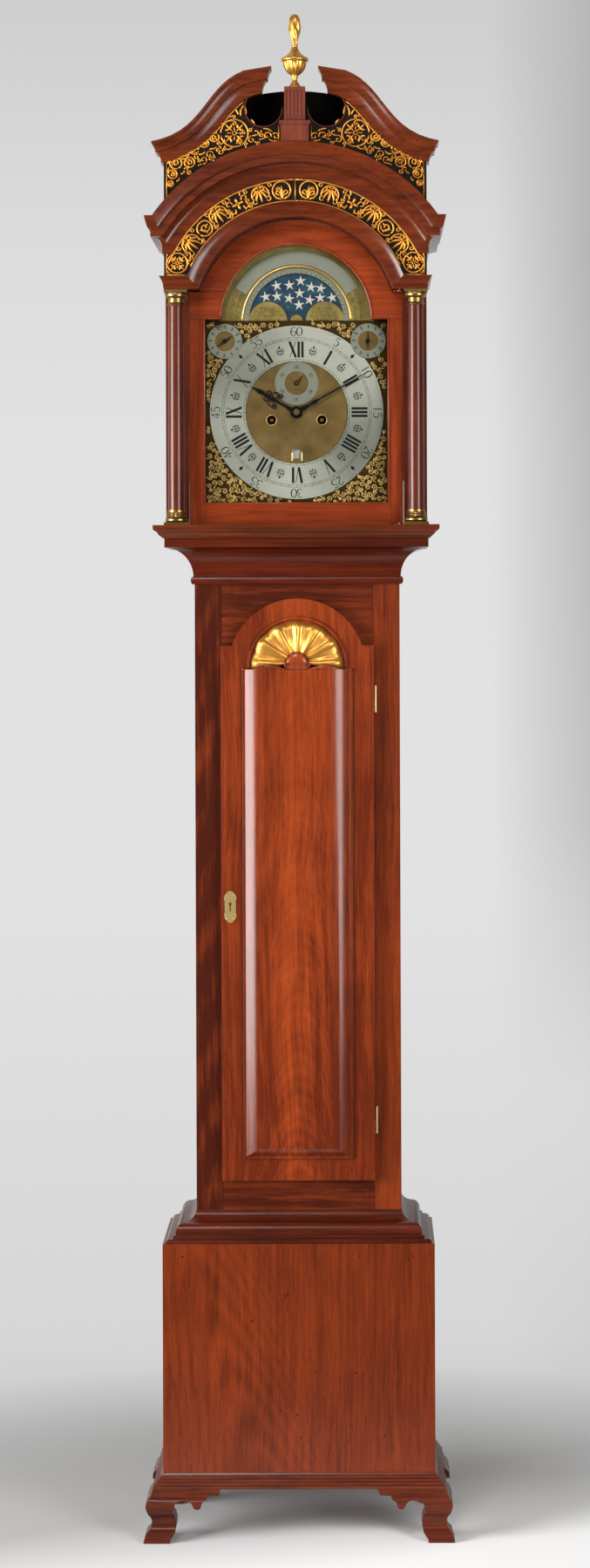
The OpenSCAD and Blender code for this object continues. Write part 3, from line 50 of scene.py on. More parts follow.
def colour(code):
    """A #rrggbb colour as the linear colour that a shader takes."""
    parts = [int(code[i:i + 2], 16) / 255 for i in (1, 3, 5)]
    return [c / 12.92 if c <= 0.04045 else ((c + 0.055) / 1.055) ** 2.4 for c in parts] + [1]


def add(tree, kind, props=(), values=(), links=()):
    """Adds a node: props are its own settings, values and links go to its sockets."""
    made = tree.nodes.new(kind)
    for key, value in dict(props).items():
        setattr(made, key, value)
    for key, value in dict(values).items():
        made.inputs[key].default_value = value
    for key, output in dict(links).items():
        tree.links.new(output, made.inputs[key])
    return made


def surface(name, **values):
    """A new material and its Principled shader; constants go on the shader's own sockets."""
    made = bpy.data.materials.new(name)
    made.use_nodes = True
    shader = made.node_tree.nodes["Principled BSDF"]
    for key, value in values.items():
        shader.inputs[key.replace("_", " ")].default_value = value
    return made, made.node_tree, shader


def per(spacing):
    """The scale of a pattern whose marks lie so many mm apart: marks to a metre, to a tenth."""
    return round(1000 / spacing, 1)


def calc(tree, operation, a, b=0.0, c=0.0, clamp=False):
    """A Math node on sockets or plain numbers; returns its output."""
    made = add(tree, "ShaderNodeMath", {"operation": operation, "use_clamp": clamp})
    for i, value in enumerate((a, b, c)):
        if isinstance(value, (int, float)):
            made.inputs[i].default_value = value
        else:
            tree.links.new(value, made.inputs[i])
    return made.outputs[0]


def blend_colour(tree, share, a, b, how="MIX"):
    """A Mix node on two colours, each a socket or a linear colour; returns its output."""
    made = add(tree, "ShaderNodeMix", {"data_type": "RGBA", "blend_type": how})
    for i, value in ((0, share), (6, a), (7, b)):
        if hasattr(value, "is_linked"):
            tree.links.new(value, made.inputs[i])
        else:
            made.inputs[i].default_value = value
    return made.outputs[2]


def ramp(tree, factor, *stops):
    """A colour ramp over factor; each stop is (place, linear colour or grey)."""
    made = add(tree, "ShaderNodeValToRGB", links={0: factor})
    line = made.color_ramp.elements
    while len(line) < len(stops):
        line.new(0.5)
    for e, (place, value) in zip(line, stops):
        e.position = place
        e.color = [value] * 3 + [1] if isinstance(value, (int, float)) else value
    return made.outputs[0]


GRAIN = {"X": (0.05, 1, 1), "Y": (1, 0.05, 1), "Z": (1, 1, 0.05)}


def mahogany(name, light, dark, along="Z", other=None, where=None, joint=None, figure=None,
             gloss=0.3, coat=0.55, seed=0.0, dents=()):
    """Mahogany under rubbed shellac: red-brown stripes, dark pores and a soft sheen. Grain runs
    along one axis, and along "other" where the function "where" gives 1. "joint" gives the
    distance to a glue line and "figure" lightens or darkens the wood. Each dent is
    (x, z, length, width, slope) in mm and degrees, on the front."""
    made, tree, shader = surface(name, Roughness=gloss, Specular_IOR_Level=0.08, Coat_Weight=coat,
                                 Coat_Roughness=0.19, Coat_IOR=1.5)
    place = add(tree, "ShaderNodeTexCoord").outputs["Object"]
    x, y, z = add(tree, "ShaderNodeSeparateXYZ", links={0: place}).outputs
    moved = add(tree, "ShaderNodeMapping", values={1: (seed, seed * 0.7, seed * 1.3),
                                                   3: GRAIN[along]}, links={0: place}).outputs[0]
    if where:
        turned = add(tree, "ShaderNodeMapping", values={1: (seed, 3.1, seed), 3: GRAIN[other]},
                     links={0: place}).outputs[0]
        moved = add(tree, "ShaderNodeMix", {"data_type": "VECTOR"},
                    links={0: where(tree, x, y, z), 4: moved, 5: turned}).outputs[1]
    # Slow bends of the grain, so that the stripes aren't ruler-straight
    bend = add(tree, "ShaderNodeTexNoise", values={"Scale": per(455), "Detail": 1.0},
               links={"Vector": place})
    bent = add(tree, "ShaderNodeVectorMath", {"operation": "MULTIPLY_ADD"},
               {1: (0.035, 0.035, 0.012)}, {0: bend.outputs["Color"], 2: moved}).outputs[0]

    def noise(spacing, detail, rough, vector):
        return add(tree, "ShaderNodeTexNoise", values={"Scale": per(spacing), "Detail": detail,
                                                       "Roughness": rough},
                   links={"Vector": vector}).outputs[0]

    # Stripes 71 mm and streaks 8 mm apart. Real pores are 0.2 mm wide and wouldn't show, so they
    # are drawn 1 mm apart; the cloudy patches of old polish are 170 mm wide
    broad = noise(71.4, 3, 0.55, bent)
    fine = noise(7.69, 6, 0.7, bent)
    pores = noise(1.1111, 2, 0.5, bent)
    cloud = noise(167, 4, 0.6, place)
    tone = calc(tree, "MULTIPLY_ADD", broad, 0.5, -0.22)
    tone = calc(tree, "ADD", tone, calc(tree, "MULTIPLY_ADD", fine, 1.1, -0.32))
    tone = calc(tree, "ADD", tone, calc(tree, "MULTIPLY_ADD", cloud, 0.5, -0.25))
    if figure:
        tone = calc(tree, "ADD", tone, figure(tree, x, y, z, bend.outputs["Color"]))
    wood = ramp(tree, tone, (0.0, colour(dark)), (0.75, colour(light)))
    pore = calc(tree, "GREATER_THAN", pores, 0.63)
    marks = calc(tree, "MULTIPLY", pore, 0.35)
    speck = calc(tree, "GREATER_THAN", noise(3.846, 1, 0.5, place), 0.8)
    marks = calc(tree, "MAXIMUM", marks, calc(tree, "MULTIPLY", speck, 0.5))
    for dx, dz, length, width, slope in dents:
        turn = add(tree, "ShaderNodeMapping", {"vector_type": "TEXTURE"},
                   {1: (dx / 1000, 0, dz / 1000), 2: (0, -math.radians(slope), 0),
                    3: (length / 2000, 10, width / 2000)}, {0: place}).outputs[0]
        far = add(tree, "ShaderNodeVectorMath", {"operation": "LENGTH"}, links={0: turn})
        marks = calc(tree, "MAXIMUM", marks, calc(tree, "MULTIPLY_ADD", far.outputs["Value"],
                                                  -1.6, 1.7, clamp=True))
    if joint:
        line = calc(tree, "LESS_THAN", joint(tree, x, y, z), 0.0005)
        marks = calc(tree, "MAXIMUM", marks, calc(tree, "MULTIPLY", line, 0.7))
    # Painted shade: the quirks and hollows of the mouldings, found by ambient occlusion, are
    # darkened in the colour like the pores
    painted_hollow_shade = add(tree, "ShaderNodeAmbientOcclusion", {"samples": 4, "only_local": True},
                 {"Distance": 0.007}).outputs["AO"]
    marks = calc(tree, "MAXIMUM", marks, calc(tree, "MULTIPLY_ADD", painted_hollow_shade, -1.5, 1.2, clamp=True))
    # Pores, specks, dents, glue lines and the painted shade all darken the wood
    wood = blend_colour(tree, calc(tree, "MINIMUM", marks, 0.8), wood, colour("#1c0a05"))
    tree.links.new(wood, shader.inputs["Base Color"])
    height = calc(tree, "SUBTRACT", calc(tree, "MULTIPLY", noise(33.3, 2, 0.5, place), 0.5),
                  calc(tree, "MULTIPLY", marks, 0.15))
    edge = add(tree, "ShaderNodeBevel", {"samples": 4}, {"Radius": 0.0009}).outputs[0]
    bump = add(tree, "ShaderNodeBump", values={"Strength": 0.22, "Distance": 0.0006},
               links={"Height": height, "Normal": edge})
    tree.links.new(bump.outputs[0], shader.inputs["Normal"])
    tree.links.new(edge, shader.inputs["Coat Normal"])
    return made


def soft_facets():
    """Nodes that smooth the shading over a run moulding's small facets and keep its arrises."""
    group = bpy.data.node_groups.new("soft facets", "GeometryNodeTree")
    group.interface.new_socket("Geometry", in_out="INPUT", socket_type="NodeSocketGeometry")
    group.interface.new_socket("Geometry", in_out="OUTPUT", socket_type="NodeSocketGeometry")
    start = add(group, "NodeGroupInput")
    bare = add(group, "GeometryNodeRemoveAttribute", values={"Name": "custom_normal"},
               links={0: start.outputs[0]})
    whole = add(group, "GeometryNodeMergeByDistance", values={"Distance": 2e-6},
                links={0: bare.outputs[0]})
    smooth = add(group, "GeometryNodeSetShadeSmooth", {"domain": "FACE"}, {"Shade Smooth": True},
                 {0: whole.outputs[0]})
    angle = add(group, "GeometryNodeInputMeshEdgeAngle")
    sharp = add(group, "FunctionNodeCompare", {"data_type": "FLOAT", "operation": "GREATER_THAN"},
                {1: 0.42}, {0: angle.outputs[0]})
    crisp = add(group, "GeometryNodeSetShadeSmooth", {"domain": "EDGE"}, {"Shade Smooth": False},
                {0: smooth.outputs[0], "Selection": sharp.outputs[0]})
    add(group, "NodeGroupOutput", links={0: crisp.outputs[0]})
    return group


even_curves = soft_facets()


def dress(made, *names, moulded=False):
    """Gives CAD nodes a material, and a moulded one smooth curves."""
    for name in names:
        cad[name].data.materials.clear()
        cad[name].data.materials.append(made)
        if moulded:
            cad[name].modifiers.new("soft facets", "NODES").node_group = even_curves


def past_mitre(side):
    """1 on the side returns of a moulding whose mitre runs through |x| + y = side, in mm."""
    return lambda tree, x, y, z: calc(
        tree, "GREATER_THAN", calc(tree, "ADD", calc(tree, "ABSOLUTE", x), y), side / 1000)


BASE_MITRE = 112.5
dress(mahogany("mahogany, sawn bracket, shellac polish", "#6a2a14", "#2a0d06", "X", "Y",
               past_mitre(BASE_MITRE), gloss=0.42, coat=0.3, seed=1.3),
      "bracket_feet", moulded=True)

# Base moulding: four small reeds and fillets run on three lengths of mahogany, mitred
# at the front corners and glued round the foot of the base.
dress(mahogany("mahogany, run moulding, base", "#743014", "#331009", "X", "Y",
               past_mitre(BASE_MITRE), gloss=0.34, coat=0.35, seed=2.1),
      "base_moulding", moulded=True)

# Base: one wide front board and two side boards, with vertical grain. The front has a
# swirl of figure at the left, and small dents and worm holes from long use.


def base_swirl(tree, x, y, z, bend):
    """Nested arches of figure on the left of the board, leaning down to the right."""
    lean = calc(tree, "SUBTRACT", calc(tree, "ADD", x, 0.15),
                calc(tree, "MULTIPLY", calc(tree, "SUBTRACT", 0.40, z), 0.32))
    bow = calc(tree, "MULTIPLY", calc(tree, "POWER", calc(tree, "ABSOLUTE", lean), 1.6), 14)
    rise = calc(tree, "ADD", calc(tree, "ADD", z, bow), calc(tree, "MULTIPLY", bend, 0.09))
    wave = calc(tree, "SINE", calc(tree, "MULTIPLY", rise, 74))
    near = calc(tree, "MULTIPLY_ADD", calc(tree, "ABSOLUTE", lean), -0.55, 0.085, clamp=True)
    return calc(tree, "MULTIPLY", wave, near)


base_dents = ((-189, 459, 5, 4, 0), (99, 459, 4, 4, 0), (186, 459, 4, 4, 0),
              (-20, 396, 14, 2.5, 55), (-76, 354, 5, 4, 0), (139, 166, 12, 2.5, 50),
              (-30, 208, 5, 3, 20), (-3, 201, 6, 3, 0), (3, 164, 5, 4, 0), (26, 271, 4, 3, 0),
              (92, 269, 5, 3, 30), (86, 181, 4, 3, 0))
dress(mahogany("mahogany, wide board, shellac polish", "#803212", "#4a1a09", "Z",
               figure=base_swirl, gloss=0.36, coat=0.3, seed=0.4, dents=base_dents), "base_box")

# Backboard: three pine boards glued edge to edge and left from the saw, nailed into
# rebates in the case sides.


def pine(name, light, dark, along):
    """Unpolished softwood, left from the saw: broad early and late wood stripes, and no sheen."""
    made, tree, shader = surface(name, Roughness=0.75)
    place = add(tree, "ShaderNodeTexCoord").outputs["Object"]
    moved = add(tree, "ShaderNodeMapping", values={3: GRAIN[along]}, links={0: place}).outputs[0]
    stripes = add(tree, "ShaderNodeTexNoise", values={"Scale": per(11.11), "Detail": 4},
                  links={"Vector": moved})
    saw = add(tree, "ShaderNodeTexNoise", values={"Scale": per(1.4286), "Detail": 2},
              links={"Vector": moved})
    wood = ramp(tree, stripes.outputs[0], (0.35, colour(dark)), (0.62, colour(light)))
    tree.links.new(wood, shader.inputs["Base Color"])
    bump = add(tree, "ShaderNodeBump", values={"Strength": 0.5, "Distance": 0.0004},
               links={"Height": saw.outputs[0]})
    tree.links.new(bump.outputs[0], shader.inputs["Normal"])
    return made


dress(pine("pine, sawn board, darkened", "#a5825a", "#6f4e31", "Z"), "backboard")

# Moulding between base and trunk: a large ogee with a small fillet and bead under it,
# run from one piece on each side and mitred.
TRUNK_MITRE = 114.25
dress(mahogany("mahogany, run moulding, waist", "#612310", "#2a0e07", "X", "Y",
               past_mitre(TRUNK_MITRE), gloss=0.32, coat=0.35, seed=3.3),
      "trunk_base_moulding", moulded=True)

# Trunk front: two stiles the full height of the trunk, with a rail above and below the
# door tenoned between them. The left stile is darker, with a ribbon figure.
STILE_EDGE = 124.6


def rails(edge):
    """1 between two stiles whose inner edges are at |x| = edge, in mm."""
    return lambda tree, x, y, z: calc(
        tree, "LESS_THAN", calc(tree, "ABSOLUTE", x), edge / 1000)


def stile_line(edge):
    """Distance to the glue line beside each stile."""
    return lambda tree, x, y, z: calc(tree, "ABSOLUTE", calc(
        tree, "SUBTRACT", calc(tree, "ABSOLUTE", x), edge / 1000))


def ribbon_figure(tree, x, y, z, bend):
    """Slanting ribbons on the left stile, a redder right stile and dark rails."""
    left = calc(tree, "LESS_THAN", x, -STILE_EDGE / 1000)
    right = calc(tree, "GREATER_THAN", x, STILE_EDGE / 1000)
    slant = calc(tree, "ADD", calc(tree, "MULTIPLY", z, -60), calc(tree, "MULTIPLY", x, 130))
    slant = calc(tree, "SINE", calc(tree, "ADD", slant, calc(tree, "MULTIPLY", bend, 7)))
    bands = calc(tree, "MULTIPLY", calc(tree, "MULTIPLY_ADD", slant, 0.08, -0.1), left)
    return calc(tree, "ADD", bands, calc(tree, "MULTIPLY_ADD", right, 0.22, -0.12))


dress(mahogany("mahogany, stiles and rails, shellac polish", "#8a3815", "#3c1409", "Z", "X",
               rails(STILE_EDGE), stile_line(STILE_EDGE), ribbon_figure, gloss=0.3, seed=5.2),
      "trunk_frame")

# Trunk sides: one mahogany board each, with vertical grain. They run up past the throat
# moulding as cheeks, which carry the seat board.
dress(mahogany("mahogany, side board, shellac polish", "#7d3418", "#3b150c", "Z",
               gloss=0.32, seed=6.4), "trunk_sides")

# Throat moulding: a bead, a deep cove and a plain band under the hood, run on mahogany,
# mitred at the front corners and glued round the top of the trunk.
dress(mahogany("mahogany, cove moulding, shellac polish", "#66230f", "#300f06", "X", "Y",
               past_mitre(TRUNK_MITRE), gloss=0.3, coat=0.4, seed=7.7),
      "throat_moulding", moulded=True)

# Seat board: a pine board laid across the cheeks of the trunk sides. It is bored for the
# lines and carries the movement.
dress(pine("pine, seat board, sawn", "#a07d55", "#6a4a2d", "X"), "seat_board")

# Movement: two cast and hammered brass plates held apart by turned pillars, with a back
# cock that carries the pendulum and a stand for the bell.


def metal(name, tint, rough, lines=0.0, around=None, stain=0.0, dark="#3a2c18",
          mat=0.0):
    """Worked metal, whose scratches or turned rings (about a point) draw the light out into
    streaks. Stain clouds it with tarnish, and "mat" is how chalky its skin is. Real turning
    lines are 0.1 mm apart or less and are drawn coarser."""
    made, tree, shader = surface(name, Metallic=1.0 - mat, Anisotropic=0.6 if around else 0.0)
    place = add(tree, "ShaderNodeTexCoord").outputs["Object"]
    cloud = add(tree, "ShaderNodeTexNoise",
                values={"Scale": per(25), "Detail": 5, "Roughness": 0.6},
                links={"Vector": place}).outputs[0]
    tarnish = calc(tree, "MULTIPLY_ADD", cloud, stain * 2, -stain * 0.6, clamp=True)
    tree.links.new(blend_colour(tree, tarnish, colour(tint), colour(dark)),
                   shader.inputs["Base Color"])
    tree.links.new(calc(tree, "MULTIPLY_ADD", cloud, 0.18, rough - 0.09),
                   shader.inputs["Roughness"])
    if around:
        flat = add(tree, "ShaderNodeMapping", values={1: (-around[0], 0, -around[1]),
                                                      3: (1, 0, 1)}, links={0: place})
        radius = add(tree, "ShaderNodeVectorMath", {"operation": "LENGTH"},
                     links={0: flat.outputs[0]}).outputs["Value"]
        marks = add(tree, "ShaderNodeTexNoise", {"noise_dimensions": "1D"},
                    {"Scale": per(0.38462), "Detail": 2}, {"W": radius})
        round_way = add(tree, "ShaderNodeVectorMath", {"operation": "CROSS_PRODUCT"},
                        {1: (0, 1, 0)}, {0: flat.outputs[0]})
        tree.links.new(round_way.outputs[0], shader.inputs["Tangent"])
    else:
        marks = add(tree, "ShaderNodeTexNoise", values={"Scale": per(1.1111), "Detail": 3}, links={
            "Vector": add(tree, "ShaderNodeMapping", values={3: (1, 1, 0.08)},
                          links={0: place}).outputs[0]})
    edge = add(tree, "ShaderNodeBevel", {"samples": 4}, {"Radius": 0.0004})
    bump = add(tree, "ShaderNodeBump", values={"Strength": lines, "Distance": 0.0001},
               links={"Height": marks.outputs[0], "Normal": edge.outputs[0]})
    tree.links.new(bump.outputs[0], shader.inputs["Normal"])
    return made


plain_brass = metal("brass, hammered and scraped plate", "#a98345", 0.34, 0.3, stain=0.25)
# Painted shade: the plates are made much darker than the other brass, so that the winding holes in
# the dial look dark
dress(metal("brass, hammered plate, tarnish and painted shade", "#57462a", 0.5, 0.3, stain=0.3, dark="#1d160c"),
      "movement_frame")

# Bell: cast bell metal, turned thin and held on a stand behind the dial arch.
# Turning leaves it paler and greyer than brass.
dress(metal("bell metal, turned", "#a99a78", 0.3, 0.4, (0, 1.987), 0.2), "bell")

# Dial plate: cast brass with a matted centre punched all over, engraved at the humps and
# beside the moon's opening, and pierced for the moon, the date and the winding squares.


def solid(points, faces):
    """A bmesh from points in mm, in metres, with its faces turned outwards."""
    made = bmesh.new()
    corners = [made.verts.new([c / 1000 for c in p]) for p in points]
    for face in faces:
        made.faces.new([corners[i] for i in face])
    bmesh.ops.recalc_face_normals(made, faces=made.faces)
    return made


def piece(name, shapes, made, body, stands_for=(), smooth=True):
    """One object from (points, faces) shapes in mm, which rides on a body."""
    points, faces = [], []
    for some, sides in shapes:
        faces += [[i + len(points) for i in side] for side in sides]
        points += some
    mesh = bpy.data.meshes.new(name)
    form = solid(points, faces)
    form.to_mesh(mesh)
    form.free()
    mesh.shade_smooth() if smooth else mesh.shade_flat()
    mesh.materials.append(made)
    thing = bpy.data.objects.new(name, mesh)
    bpy.context.scene.collection.objects.link(thing)
    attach(thing, body)
    if stands_for:
        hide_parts(*stands_for)
    return thing


FLAT = ((-1, 0), (-0.96, 1), (0.96, 1), (1, 0))
CROWNED = ((-1, 0), (-0.75, 0.68), (0, 1), (0.75, 0.68), (1, 0))


def strip(line, y, height, across=CROWNED, closed=False):
    """A raised strip that faces -Y, along (x, z, half width) points in mm from the plane y."""
    points, faces, n, rows = [], [], len(across), len(line)
    for i, (x, z, w) in enumerate(line):
        a = line[i - 1] if i or closed else line[0]
        b = line[(i + 1) % rows] if i < rows - 1 or closed else line[-1]
        dx, dz = b[0] - a[0], b[1] - a[1]
        far = math.hypot(dx, dz) or 1
        rise = height * min(1, 0.35 + w / 1.2)
        points += [(x - dz / far * w * u, y - rise * v, z + dx / far * w * u) for u, v in across]
        if i or closed:
            faces += [((i - 1) % rows * n + j, i * n + j, i * n + (j + 1) % n,
                       (i - 1) % rows * n + (j + 1) % n) for j in range(n)]
    if not closed:
        faces += [list(range(n)), list(range(n * rows - n, n * rows))[::-1]]
    return points, faces


def curl(x, z, start, end, near, far, wide=1.2, tip=0.6, step=24):
    """A spiral line about (x, z), from angle start at radius near to angle end at radius far."""
    count = max(3, math.ceil(abs(end - start) / step))
    line = []
    for i in range(count + 1):
        a = math.radians(start + (end - start) * i / count)
        r = near + (far - near) * i / count
        line.append((x + r * math.cos(a), z + r * math.sin(a), wide + (tip - wide) * i / count))
    return line


def ring_line(x, z, radius, half, step=10):
    """A closed circle."""
    return [(x + radius * math.cos(math.radians(a)), z + radius * math.sin(math.radians(a)), half)
            for a in range(0, 360, step)]


def leaf(x, z, way, length, wide, bow=0.0):
    """A pointed leaf from (x, z) that grows in the direction way and bows sideways."""
    c, s = math.cos(math.radians(way)), math.sin(math.radians(way))
    line = []
    for i in range(6):
        t = i / 5
        side = bow * math.sin(math.pi * t)
        line.append((x + c * length * t - s * side, z + s * length * t + c * side,
                     max(0.15, wide / 2 * math.sin(math.pi * (0.12 + 0.86 * t)) ** 0.8)))
    return line


# Middles of the hands, the moon disc, a hump and the corner rings
HANDS = (0.0, 1837.0)
MOON = (0.0, 1988.0)
HUMP_X = 47
CORNERS = ((-118.0, 1954.5), (118.0, 1954.5))
# Height at which the arch of the dial and of the hood door starts
ARCH_FOOT = 1988.5
# Fronts of the plate and of the rings on it
DIAL_FACE = -38.0
RING_FACE = -39.5


def punched_brass():
    """Brass matted with a round punch, 0.8 mm to a mark, which takes away its shine. Dark wax
    and tarnish are left in the marks."""
    made, tree, shader = surface("brass, punched matting", Metallic=1.0, Roughness=0.5)
    place = add(tree, "ShaderNodeTexCoord").outputs["Object"]
    dots = add(tree, "ShaderNodeTexVoronoi", {"feature": "F1"}, {"Scale": per(0.76923)},
               {"Vector": place}).outputs["Distance"]
    cloud = add(tree, "ShaderNodeTexNoise", values={"Scale": per(33.3), "Detail": 5},
                links={"Vector": place})
    x, y, z = add(tree, "ShaderNodeSeparateXYZ", links={0: place}).outputs
    off = add(tree, "ShaderNodeVectorMath", {"operation": "DISTANCE"},
              {1: (HANDS[0] / 1000, DIAL_FACE / 1000, HANDS[1] / 1000)}, {0: place})
    base = ramp(tree, cloud.outputs[0], (0.3, colour("#65502f")), (0.7, colour("#866c42")))
    tone = blend_colour(tree, calc(tree, "MULTIPLY_ADD", dots, -0.9, 0.5, clamp=True),
                        base, colour("#33260f"))
    # Smooth brass beside the moon's opening, and painted shade on the plate in the corners under
    # the spandrels
    arch = calc(tree, "GREATER_THAN", z, ARCH_FOOT / 1000)
    tone = blend_colour(tree, arch, tone, ramp(
        tree, cloud.outputs[0], (0.3, colour("#7d6a3c")), (0.7, colour("#a68f55"))))
    painted_corner_shade = calc(tree, "MULTIPLY", calc(tree, "GREATER_THAN", off.outputs["Value"], 0.142),
                  calc(tree, "SUBTRACT", 1, arch))
    small = add(tree, "ShaderNodeCombineXYZ", links={0: calc(tree, "ABSOLUTE", x), 2: z})
    small = add(tree, "ShaderNodeVectorMath", {"operation": "DISTANCE"},
                {1: (CORNERS[1][0] / 1000, 0, CORNERS[1][1] / 1000)},
                {0: small.outputs[0]}).outputs["Value"]
    painted_corner_shade = calc(tree, "MULTIPLY", painted_corner_shade, calc(tree, "GREATER_THAN", small, 0.024))
    tone = blend_colour(tree, painted_corner_shade, tone, colour("#3d2d15"))
    tree.links.new(tone, shader.inputs["Base Color"])
    bump = add(tree, "ShaderNodeBump", values={"Strength": 0.8, "Distance": 0.0002},
               links={"Height": dots})
    tree.links.new(bump.outputs[0], shader.inputs["Normal"])
    return made


dress(punched_brass(), "dial_plate")
wax = surface("engraver's wax, black", Base_Color=colour("#0c0b09"), Roughness=0.6,
              Specular_IOR_Level=0.2)[0]
bright_brass = metal("brass, turned and burnished", "#e3c078", 0.3, 0.02, stain=0.05, mat=0.2)
# Raised half-round bezel of the moon's opening, with a small notch at its top
BEZEL_RADIUS, BEZEL_HALF, BEZEL_RISE = 89.6, 2.8, 3.2
bezel = curl(*MOON, 0, 180, BEZEL_RADIUS, BEZEL_RADIUS, BEZEL_HALF, BEZEL_HALF, 3)
piece("moon_bezel", [strip(bezel, DIAL_FACE, BEZEL_RISE)], bright_brass, "case")
# Engraving: foliage beside the moon's opening and on the humps, each hump with a pale border
random.seed(4)
engraved = []
for side in (-1, 1):
    for row in range(7):
        for lane in range(2):
            a = math.radians(90 - side * (64 + 4.2 * row - 2 * lane))
            r = 98.5 + 9.5 * lane
            engraved.append(curl(MOON[0] + r * math.cos(a), MOON[1] + r * math.sin(a),
                                 random.uniform(0, 360), random.uniform(560, 760), 0.8, 3.8,
                                 0.18, 0.42, 40))
    for row in range(4):
        for place in range(9):
            x = side * HUMP_X + (place - 4) * 6 + (row % 2) * 3
            z = MOON[1] + 2 + row * 6
            if math.hypot(x - side * HUMP_X, z - MOON[1]) < 24:
                engraved.append(curl(x, z, random.uniform(0, 360), random.uniform(500, 700),
                                     0.5, 2.8, 0.16, 0.36, 45))
piece("dial_engraving", [strip(line, DIAL_FACE, 0.09, FLAT) for line in engraved], wax, "case")

# Winding collars: a turned ring round each winding hole, and the bevelled sides of the
# date opening, left bright from the file.
WINDING = (41.4, 1824.4)
collars = [ring_line(s * WINDING[0], WINDING[1], 8.3, 0.7) for s in (-1, 1)]
piece("winding_collars", [strip(line, DIAL_FACE, 0.9, closed=True) for line in collars],
      bright_brass, "case")
DATE_SIDE, DATE_LOW, DATE_HIGH = 8.1, 1757.5, 1770.5
bevels = [[(s * DATE_SIDE, DATE_LOW, 1.1), (s * DATE_SIDE, DATE_HIGH, 1.1)] for s in (-1, 1)]
piece("date_bevels", [strip(line, DIAL_FACE, 0.7) for line in bevels], bright_brass, "case",
      smooth=False)

# Chapter ring: brass, silvered with a rubbed paste and turned true. Its figures are
# engraved and filled with black wax: Roman hours, Arabic minutes, all tops outward.
silver = metal("silvered brass, chapter ring, turned", "#bdbbad", 0.38, 0.25,
               (HANDS[0] / 1000, HANDS[1] / 1000), 0.2, "#79766a", mat=0.15)
dress(silver, "chapter_ring")


def on_ring(line, clock, radius, centre, grow=1.0):
    """Turns a (sideways, outward, half width) line to a place on a ring, tops outward."""
    a = math.radians(clock)
    return [(centre[0] + (radius + v * grow) * math.sin(a) + u * grow * math.cos(a),
             centre[1] + (radius + v * grow) * math.cos(a) - u * grow * math.sin(a), w * grow)
            for u, v, w in line]


def rounded(line, count=3):
    """A smooth curve through a few (u, v, half width) points."""
    ends = [line[0]] + list(line) + [line[-1]]
    curve = []
    for i in range(len(line) - 1):
        p = ends[i:i + 4]
        for k in range(count):
            t = k / count
            curve.append(tuple(0.5 * (2 * p[1][j] + (p[2][j] - p[0][j]) * t
                               + (2 * p[0][j] - 5 * p[1][j] + 4 * p[2][j] - p[3][j]) * t * t
                               + (3 * p[1][j] - p[0][j] - 3 * p[2][j] + p[3][j]) * t ** 3)
                               for j in range(3)))
    return curve + [line[-1]]


ROMAN = {1: "I", 2: "II", 3: "III", 4: "IIII", 5: "V", 6: "VI", 7: "VII", 8: "VIII", 9: "IX",
         10: "X", 11: "XI", 12: "XII"}
# Half height of the numerals, and half widths of their thick and thin strokes
TALL, THICK, THIN = 13.2, 2.0, 0.55
# Each numeral: its width, and strokes as (u, v) ends in mm with a half width
STROKES = {"I": (6.2, [((0, TALL), (0, -TALL), THICK)]),
           "V": (12.5, [((-5.2, TALL), (0, -TALL), THICK), ((4.8, TALL), (0.6, -TALL), THIN)]),
           "X": (13.5, [((-5.2, TALL), (5.2, -TALL), THICK), ((5, TALL), (-5, -TALL), THIN)])}
# Arabic figures 14.6 mm tall, as rounded lines of (u, v, half width)
FIGURES = {
    "0": [[(0, 7.3, .4), (-3.2, 4.8, .8), (-4.3, 0, 1), (-3.2, -4.8, .8), (0, -7.3, .4),
           (3.2, -4.8, .8), (4.3, 0, 1), (3.2, 4.8, .8), (0, 7.3, .4)]],
    "1": [[(0, 7.3, .7), (0, 0, .8), (0, -7.3, .7)]],
    "2": [[(-3.2, 3.6, .9), (-2.4, 6.4, .5), (.6, 7.2, .4), (3.4, 4.6, .8), (1.6, .2, .7),
           (-2, -4, .5), (-4, -7, .4)], [(-4, -6.7, .4), (-.6, -6, .9), (4.2, -6.9, .6)]],
    "3": [[(-3, 5.2, .8), (-.4, 7.2, .4), (2.8, 5, .7), (.8, 1.2, .4), (-.6, .9, .3)],
          [(-.6, .9, .3), (3, -.6, .6), (3.8, -4, .9), (.2, -7.2, .4), (-3.8, -5, .8)]],
    "4": [[(1.4, 7.2, .4), (-1.6, 2, .35), (-4.6, -2.6, .35)], [(-4.6, -2.6, .5), (4.4, -2.6, .5)],
          [(1.6, 7.2, .7), (1.6, -7.2, .8)]],
    "5": [[(-2.4, 7, .45), (1, 6.6, .8), (3.6, 7.3, .5)], [(-2.4, 7, .4), (-2.9, 1.2, .35)],
          [(-2.9, 1.2, .35), (.6, 2.2, .5), (3.8, -1.4, .9), (2.6, -5.8, .7), (-.8, -7.2, .4),
           (-3.8, -5, .7)]],
    "6": [[(3.4, 6.4, .8), (.8, 7.2, .4), (-3, 3.6, .7), (-4.1, -2, 1), (-1.6, -7, .5),
           (2.6, -6, .6), (3.8, -2.6, .9), (1.4, .4, .4), (-3.4, -1.2, .4)]]}


def figures(text, clock, radius, centre, grow=1.0, pitch=10.0):
    """Arabic figures side by side on a ring."""
    lines = []
    for i, sign in enumerate(text):
        for line in FIGURES[sign]:
            moved = [(u + (i - (len(text) - 1) / 2) * pitch, v, w) for u, v, w in rounded(line)]
            lines.append(on_ring(moved, clock, radius, centre, grow))
    return lines


